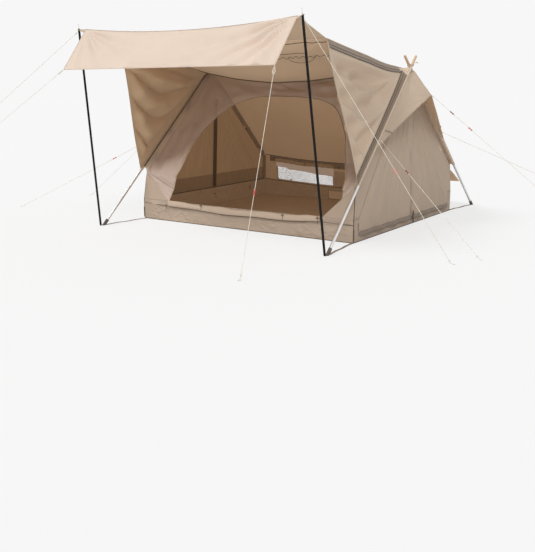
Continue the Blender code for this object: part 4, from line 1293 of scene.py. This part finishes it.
swing(cloth("canopy", 96, 60, lambda u, v: canopy_point(2 * u - 1, v), (0, 0, 1),
            [canopy_outer, canopy_under], canopy_crease, slot="canvas_light", body=None,
            node="canopy_panel", rests_on=["ridge_roll"]))
for hand, side in sides.items():
    route = [canopy_point(side, between(0.03, 0.998, share)) + vec(side * 0.003, 0, -0.004)
             for share in shares(60)]
    swing(tube(f"canopy_side_hem_{hand}", route, 0.0075, canvas_trim, "canvas", None))


# Gear line: dark cord laced to and fro under the canopy, with one loose loop, for hanging a lamp. Above it
# runs a second cord, and near the ridge a dark line of painted shade under the canopy's belly.
lace = []
for number in range(63):
    across = between(-1.09, 1.09, number / 62)
    sway = 0.012 * rough(number * 0.31, 2.0, 0)
    hang = 0.005 + (0.015 + 0.8 * abs(sway)) * (number % 2)
    lace.append(under_canopy(across / half_width, 0.655 + sway, hang))
belly_shade_line = [under_canopy(1.9 * share - 0.95, 0.250, 0.006) for share in shares(60)]
loose = []
for share in shares(24):
    hang = 0.008 + 0.050 * sin(pi * share) ** 0.45
    loose.append(under_canopy(between(0.44, 0.72, share) / half_width, 0.648, hang))
upper = [under_canopy(across / half_width, 0.725 + 0.008 * sin(across * 24), 0.005)
         for across in [between(-1.05, 0.70, share) for share in shares(90)]]
gear_line = tube("gear_line", lace, 0.0022, rim_piping, "cord", None)
belly_shade_skin = new_skin("painted shade under the canopy's belly", (0.17, 0.115, 0.070), 0.9)[0]
for piece in (gear_line, tube("canopy_belly_shade_line", belly_shade_line, 0.0055, belly_shade_skin, "cord", None),
              tube("gear_line_loop", loose, 0.0020, rim_piping, "cord", None),
              tube("gear_line_upper", upper, 0.0018, rim_piping, "cord", None)):
    swing(piece)


# Canopy strip: the outer panel of the canopy, from the seam up to the fold between the canopy poles.
fold_reach = 1.84


def fold_line(spread):
    return vec(spread * half_width, -fold_reach, 1.765 + 0.055 * spread ** 2)


def strip_point(spread, out):
    start = vec(spread * half_width, -1.4202, seam_height)
    stop = fold_line(spread)
    return between(start, stop + (start - stop).normalized() * 0.001, out)


def strip_crease(u, v):
    pulled = two_fans(u, v, 1, (2.3, 0.45), 18, 0.005, 0.4)
    return (pulled + ripple(u, v, (9, 2), 0.005, 7.3)) * sewn(u, v)


# From below the strip is a darker copy of the canvas, painted shade, with glow as painted light.
strip_under = woven_skin("strip of canopy from below", (0.455, 0.335, 0.225), glow=0.14)
cloth("canopy_strip", 96, 24, lambda u, v: strip_point(2 * u - 1, v), (0, 0, 1),
      [canopy_outer, strip_under], strip_crease, slot="canvas_light", body="awning", node="front_awning",
      rests_on=["canopy"])
seam_route = [under_canopy(1.98 * u - 0.99, 0.935, 0.0040) for u in shares(90)]
swing(tube("canopy_seam", seam_route, 0.0024, rim_piping, "canvas", None))


# Canopy flap: the strip that folds down from the outer edge, with a narrow hem all round. The corner
# pulls of its guylines spread creases from both upper corners.
def hem_point(spread):
    return vec(spread * 1.116, -2.133, 1.468)


def flap_point(spread, down):
    start = fold_line(spread)
    return between(start + (hem_point(spread) - start).normalized() * 0.001, hem_point(spread), down)


def flap_crease(u, v):
    stretch = (2.3, 0.47)
    left = fan(u, v, (0, 0), stretch, 15, 0.020, 0.7, 0.1)
    right = fan(u, v, (1, 0), stretch, 17, 0.030, 1.0, 0.1)
    lower = fan(u, v, (1, 0), stretch, 39, 0.007, 0.6, 0.2) + fan(u, v, (1, 1), stretch, 13, 0.006, 0.30)
    pulled = right + left + lower
    pulled += ripple(u, v, (7, 2), 0.018, 5.5)
    pulled += ripple(u, v, (19, 5), 0.006, 1.2)
    belly = -0.014 * sin(pi * v) * sin(pi * u)
    return pulled * sewn(u, v, 0.06) + belly


flap, cut = sheet("flap", 120, 36, lambda u, v: flap_point(2 * u - 1, v), (0, -1, 0),
                  [canopy_outer, canopy_under], flap_crease)
flap_edges = [flap_point(-1, v) for v in shares(14)] + [flap_point(2 * u - 1, 1) for u in shares(70)[1:]]
flap_edges += [flap_point(1, 1 - v) for v in shares(14)[1:]]
flap_hem = tube("flap_hem", flap_edges, 0.0028, canopy_outer, "canvas", None)
fold_route = [fold_line(2 * u - 1) for u in shares(70)]
fold_hem = tube("flap_fold_piping", fold_route, 0.0026, canvas_trim, "canvas", None)
put(flap, node="canopy_flap")
for piece in (flap, flap_hem, fold_hem):
    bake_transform(piece)


# Corner tabs: webbing sewn to each end of the canopy's outer fold, with a pressed eyelet that drops over
# the spike of the canopy pole.
eyelet_brass = speckled_skin("dull brass eyelet", (0.50, 0.42, 0.28), 0.3, 0.5, 600, 0.0002, 1.0)
ring_profile = [(0.0036, -0.0018), (0.0075, -0.0014), (0.0079, 0), (0.0075, 0.0016), (0.0050, 0.0024),
                (0.0036, 0.0018), (0.0036, -0.0018)]
across_webbing = [-1, -0.5, 0, 0.5, 1]
for hand, side in sides.items():
    spike = vec(side * 1.18, -1.868, 1.82 + 0.0024)

    def tab_place(spread, share):
        if spread < 0:
            sewn_edge = strip_point(side, 1 + spread * 0.09)
        else:
            sewn_edge = flap_point(side, spread * 0.08)
        sewn_edge += vec(side * 0.0008, 0, 0)
        free = spike + vec(side * 0.011, -spread * 0.0125, 0.002)
        return between(sewn_edge, free, share) + vec(0, 0, -0.003 * sin(pi * share))

    cloth(f"tab_{hand}", across_webbing, 16, tab_place, (0, 0, 1), [webbing_skin], wall=0.0019,
          cut_out=lambda spot: (spot - spike).xy.length < 0.0052, slot="webbing", body="awning",
          node=f"corner_tab_{hand}")
    ring = turned(f"eyelet_{hand}", ring_profile, spike + vec(0, 0, 0.0015), vec(0, 0, 1), eyelet_brass, 20)
    put(ring, "awning")


# Side wings: a gusset of canvas between each edge of the canopy and the front sleeve below it. It hangs
# in deep curved folds.
# The strip under the canopy's edge is a real strip; its dark tone is partly painted shade under the edge.
placket_light = woven_skin("edge strip canvas in shade", (0.34, 0.272, 0.218))
placket_dark = woven_skin("placket in front of the sleeve", (0.27, 0.205, 0.150))
# Seen from inside the wing is a darker copy of the canvas, painted shade, with glow as painted light.
wing_under = woven_skin("wing canvas from inside", (0.50, 0.352, 0.222), glow=0.12)
wing_lift = vec(0, -cos(lean), sin(lean)) * sleeve_out
for hand, side in sides.items():
    outside = (side, 0, 0)

    def wing_point(share, down):
        reach = between(0.08, 1.08, down)
        sleeve_line = pole_axis(side, -1, pole_plane(reach)) + wing_lift
        edge = canopy_point(side, between(0.08 / seam_reach, 1, down)) + vec(side * 0.0012, 0, 0)
        fold = 0.010 * down * sin(tau * share)
        return between(sleeve_line, edge, share) + vec(side * fold, 0, 0)

    def wing_length(down):
        return (wing_point(1.0, down) - wing_point(0.0, down)).length

    def wing_crease(u, v):
        """Swags that hang from the canopy's corner to the sleeve, sharper at their crests."""
        place = wing_point(u, v)
        inner = -pole_reach * (1 - place.z / crossing_height)
        outer = -1.08 - 0.29 * (place.z - 0.5)
        span = max(0.0, min(1.0, (place.y - inner) / min(-0.05, outer - inner)))
        swag = place.z + 0.24 * (1 - (2 * span - 1) ** 2) + 0.05 * rough(place.y * 3, place.z * 3, side)
        drape = 0.085 * (0.30 - abs(sin(pi * swag / 0.25)) ** 0.8)
        pull = 0.014 * sin(26 * place.z - 14 * place.y + side) + ripple(u, v, (6, 7), 0.016, side * 4.2)
        below = u * wing_length(v)
        above = (1 - u) * wing_length(v)
        tuck = 0.040 * ease((above - 0.082) / 0.06) * (1 - ease((above - 0.16) / 0.22)) * sin(pi * v)
        eased = ease((below - 0.062) / 0.12) * ease((above - 0.10) / 0.14)
        return (drape + pull - 0.012) * eased * ease((1 - v) / 0.10) - tuck * ease((below - 0.062) / 0.08)

    wing, cut = sheet(f"wing_{hand}", 90, 90, wing_point, outside, [canvas_outer, wing_under], wing_crease)
    edge = tube(f"wing_hem_{hand}", [wing_point(u, 1.0) for u in shares(30)], 0.0024, canvas_trim, "canvas")
    put(wing, "root", f"side_wing_{hand}")

    def head_place(u, v):
        """The wing's narrow head, between the ridge's end and the crossing."""
        line = pole_axis(side, -1, pole_plane(between(0.030, 0.080, v))) + wing_lift
        return between(line, canopy_point(side, between(0.004, 0.0563, v)) + vec(side * 0.0012, 0, 0.002), u)

    def edge_strip(u, v):
        """A doubled strip below the canopy's edge that carries a zip."""
        down = between(0.045, 0.985, u)
        drop = between(0.008, 0.066, v) / wing_length(down)
        return wing_point(max(0.0, 1.0 - drop), down) + vec(side * 0.0045, 0, 0)

    def sleeve_strip(u, v):
        """The dark placket in front of the sleeve, with the wing's zip along it."""
        down = between(0.03, 1.0, u)
        return wing_point(min(1.0, 0.070 * v / wing_length(down)), down) + vec(side * 0.0055, 0, 0)

    head = cloth(f"wing_head_{hand}", 8, 6, head_place, (side, 0, 1), [canvas_outer, wing_under])
    folding = [wing, edge, head]
    for name, place, skin in (("edge", edge_strip, placket_light), ("sleeve", sleeve_strip, placket_dark)):
        folding.append(cloth(f"wing_{name}_strip_{hand}", 70, 4, place, outside, [skin, canopy_under]))
        for row, thick in ((0.97, 0.0030), (0.55, 0.0022)):
            route = [place(u, row) + vec(side * 0.0012, 0.002 * sin(u * 190), 0.002 * sin(u * 160))
                     for u in shares(140)]
            zip_name = f"wing_{name}_zip_{hand}_{round(row * 100)}"
            folding.append(tube(zip_name, route, thick, zip_teeth, "canvas"))
    for piece in folding:
        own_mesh(piece)


# Base straps: webbing on the ground from each foot cap to the near corner of the tub. It lies in low
# waves between its ends.
strap_skin = woven_skin("dark ground strap", (0.23, 0.175, 0.135), scale=170, depth=0.0006)
cap_end = vec(1.27, 1.592)
tub_end = vec(1.2045, 1.0902)
for hand, side in sides.items():
    for end_name, end in ends.items():
        def strap_place(spread, share):
            across, reach = between(cap_end, tub_end, share)
            lift = 0.0012 + 0.004 * sin(pi * share) ** 2 * (1 + sin(9 * share))
            return vec(side * (across + spread * 0.0125), end * reach, lift)

        cloth(f"strap_{end_name}_{hand}", across_webbing, 30, strap_place, (0, 0, 1), [strap_skin],
              wall=0.0018, slot="webbing", node=f"base_strap_{end_name}_{hand}")


# Floor and daylight: a pale studio floor under a plain white sky, and a broad sun from the front left. The
# camera sees the floor and sky as nearly white, and the floor keeps the tent's faint shadow.
studio_white = (0.930, 0.930, 0.930, 1)
world = bpy.data.worlds.new("studio sky")
bpy.context.scene.world = world
world.use_nodes = True
tree = world.node_tree
tree.nodes.clear()
rays = add(tree, "LightPath")
seen = rays["Is Camera Ray"]
for ray in ("Is Glossy Ray", "Is Transmission Ray"):
    seen = add(tree, "Math", seen, rays[ray], operation="MAXIMUM")[0]
lighting = add(tree, "Background", (1, 1, 1, 1), 0.44)[0]
backdrop = add(tree, "Background", studio_white, 1.0)[0]
add(tree, "OutputWorld", add(tree, "MixShader", seen, lighting, backdrop)[0])

for name, strength, way in (("sun", 1.60, (-0.34, -0.55, 0.76)), ("fill", 0.95, (0.46, -0.60, 0.66))):
    lamp = bpy.data.objects.new(name, bpy.data.lights.new(name, "SUN"))
    lamp.data.energy = strength
    lamp.data.angle = radians(22)
    lamp.matrix_world = Vector(way).to_track_quat("Z", "Y").to_matrix().to_4x4()
    bpy.context.scene.collection.objects.link(lamp)

ground_shape = bmesh.new()
bmesh.ops.create_grid(ground_shape, x_segments=1, y_segments=1, size=60)
bmesh.ops.translate(ground_shape, vec=(0, 0, -0.0005), verts=ground_shape.verts)
floor_skin, floor_shader = new_skin("studio floor", (0.90, 0.90, 0.90), 0.9)
tree = floor_skin.node_tree
share_seen = add(tree, "Math", add(tree, "LightPath")["Is Camera Ray"], 0.72, operation="MULTIPLY")[0]
white = add(tree, "Emission", studio_white, 1.0)[0]
surface = add(tree, "MixShader", share_seen, floor_shader.outputs[0], white)[0]
feed(tree, tree.nodes["Material Output"].inputs["Surface"], surface)
keep_mesh("studio_floor", ground_shape, floor_skin)
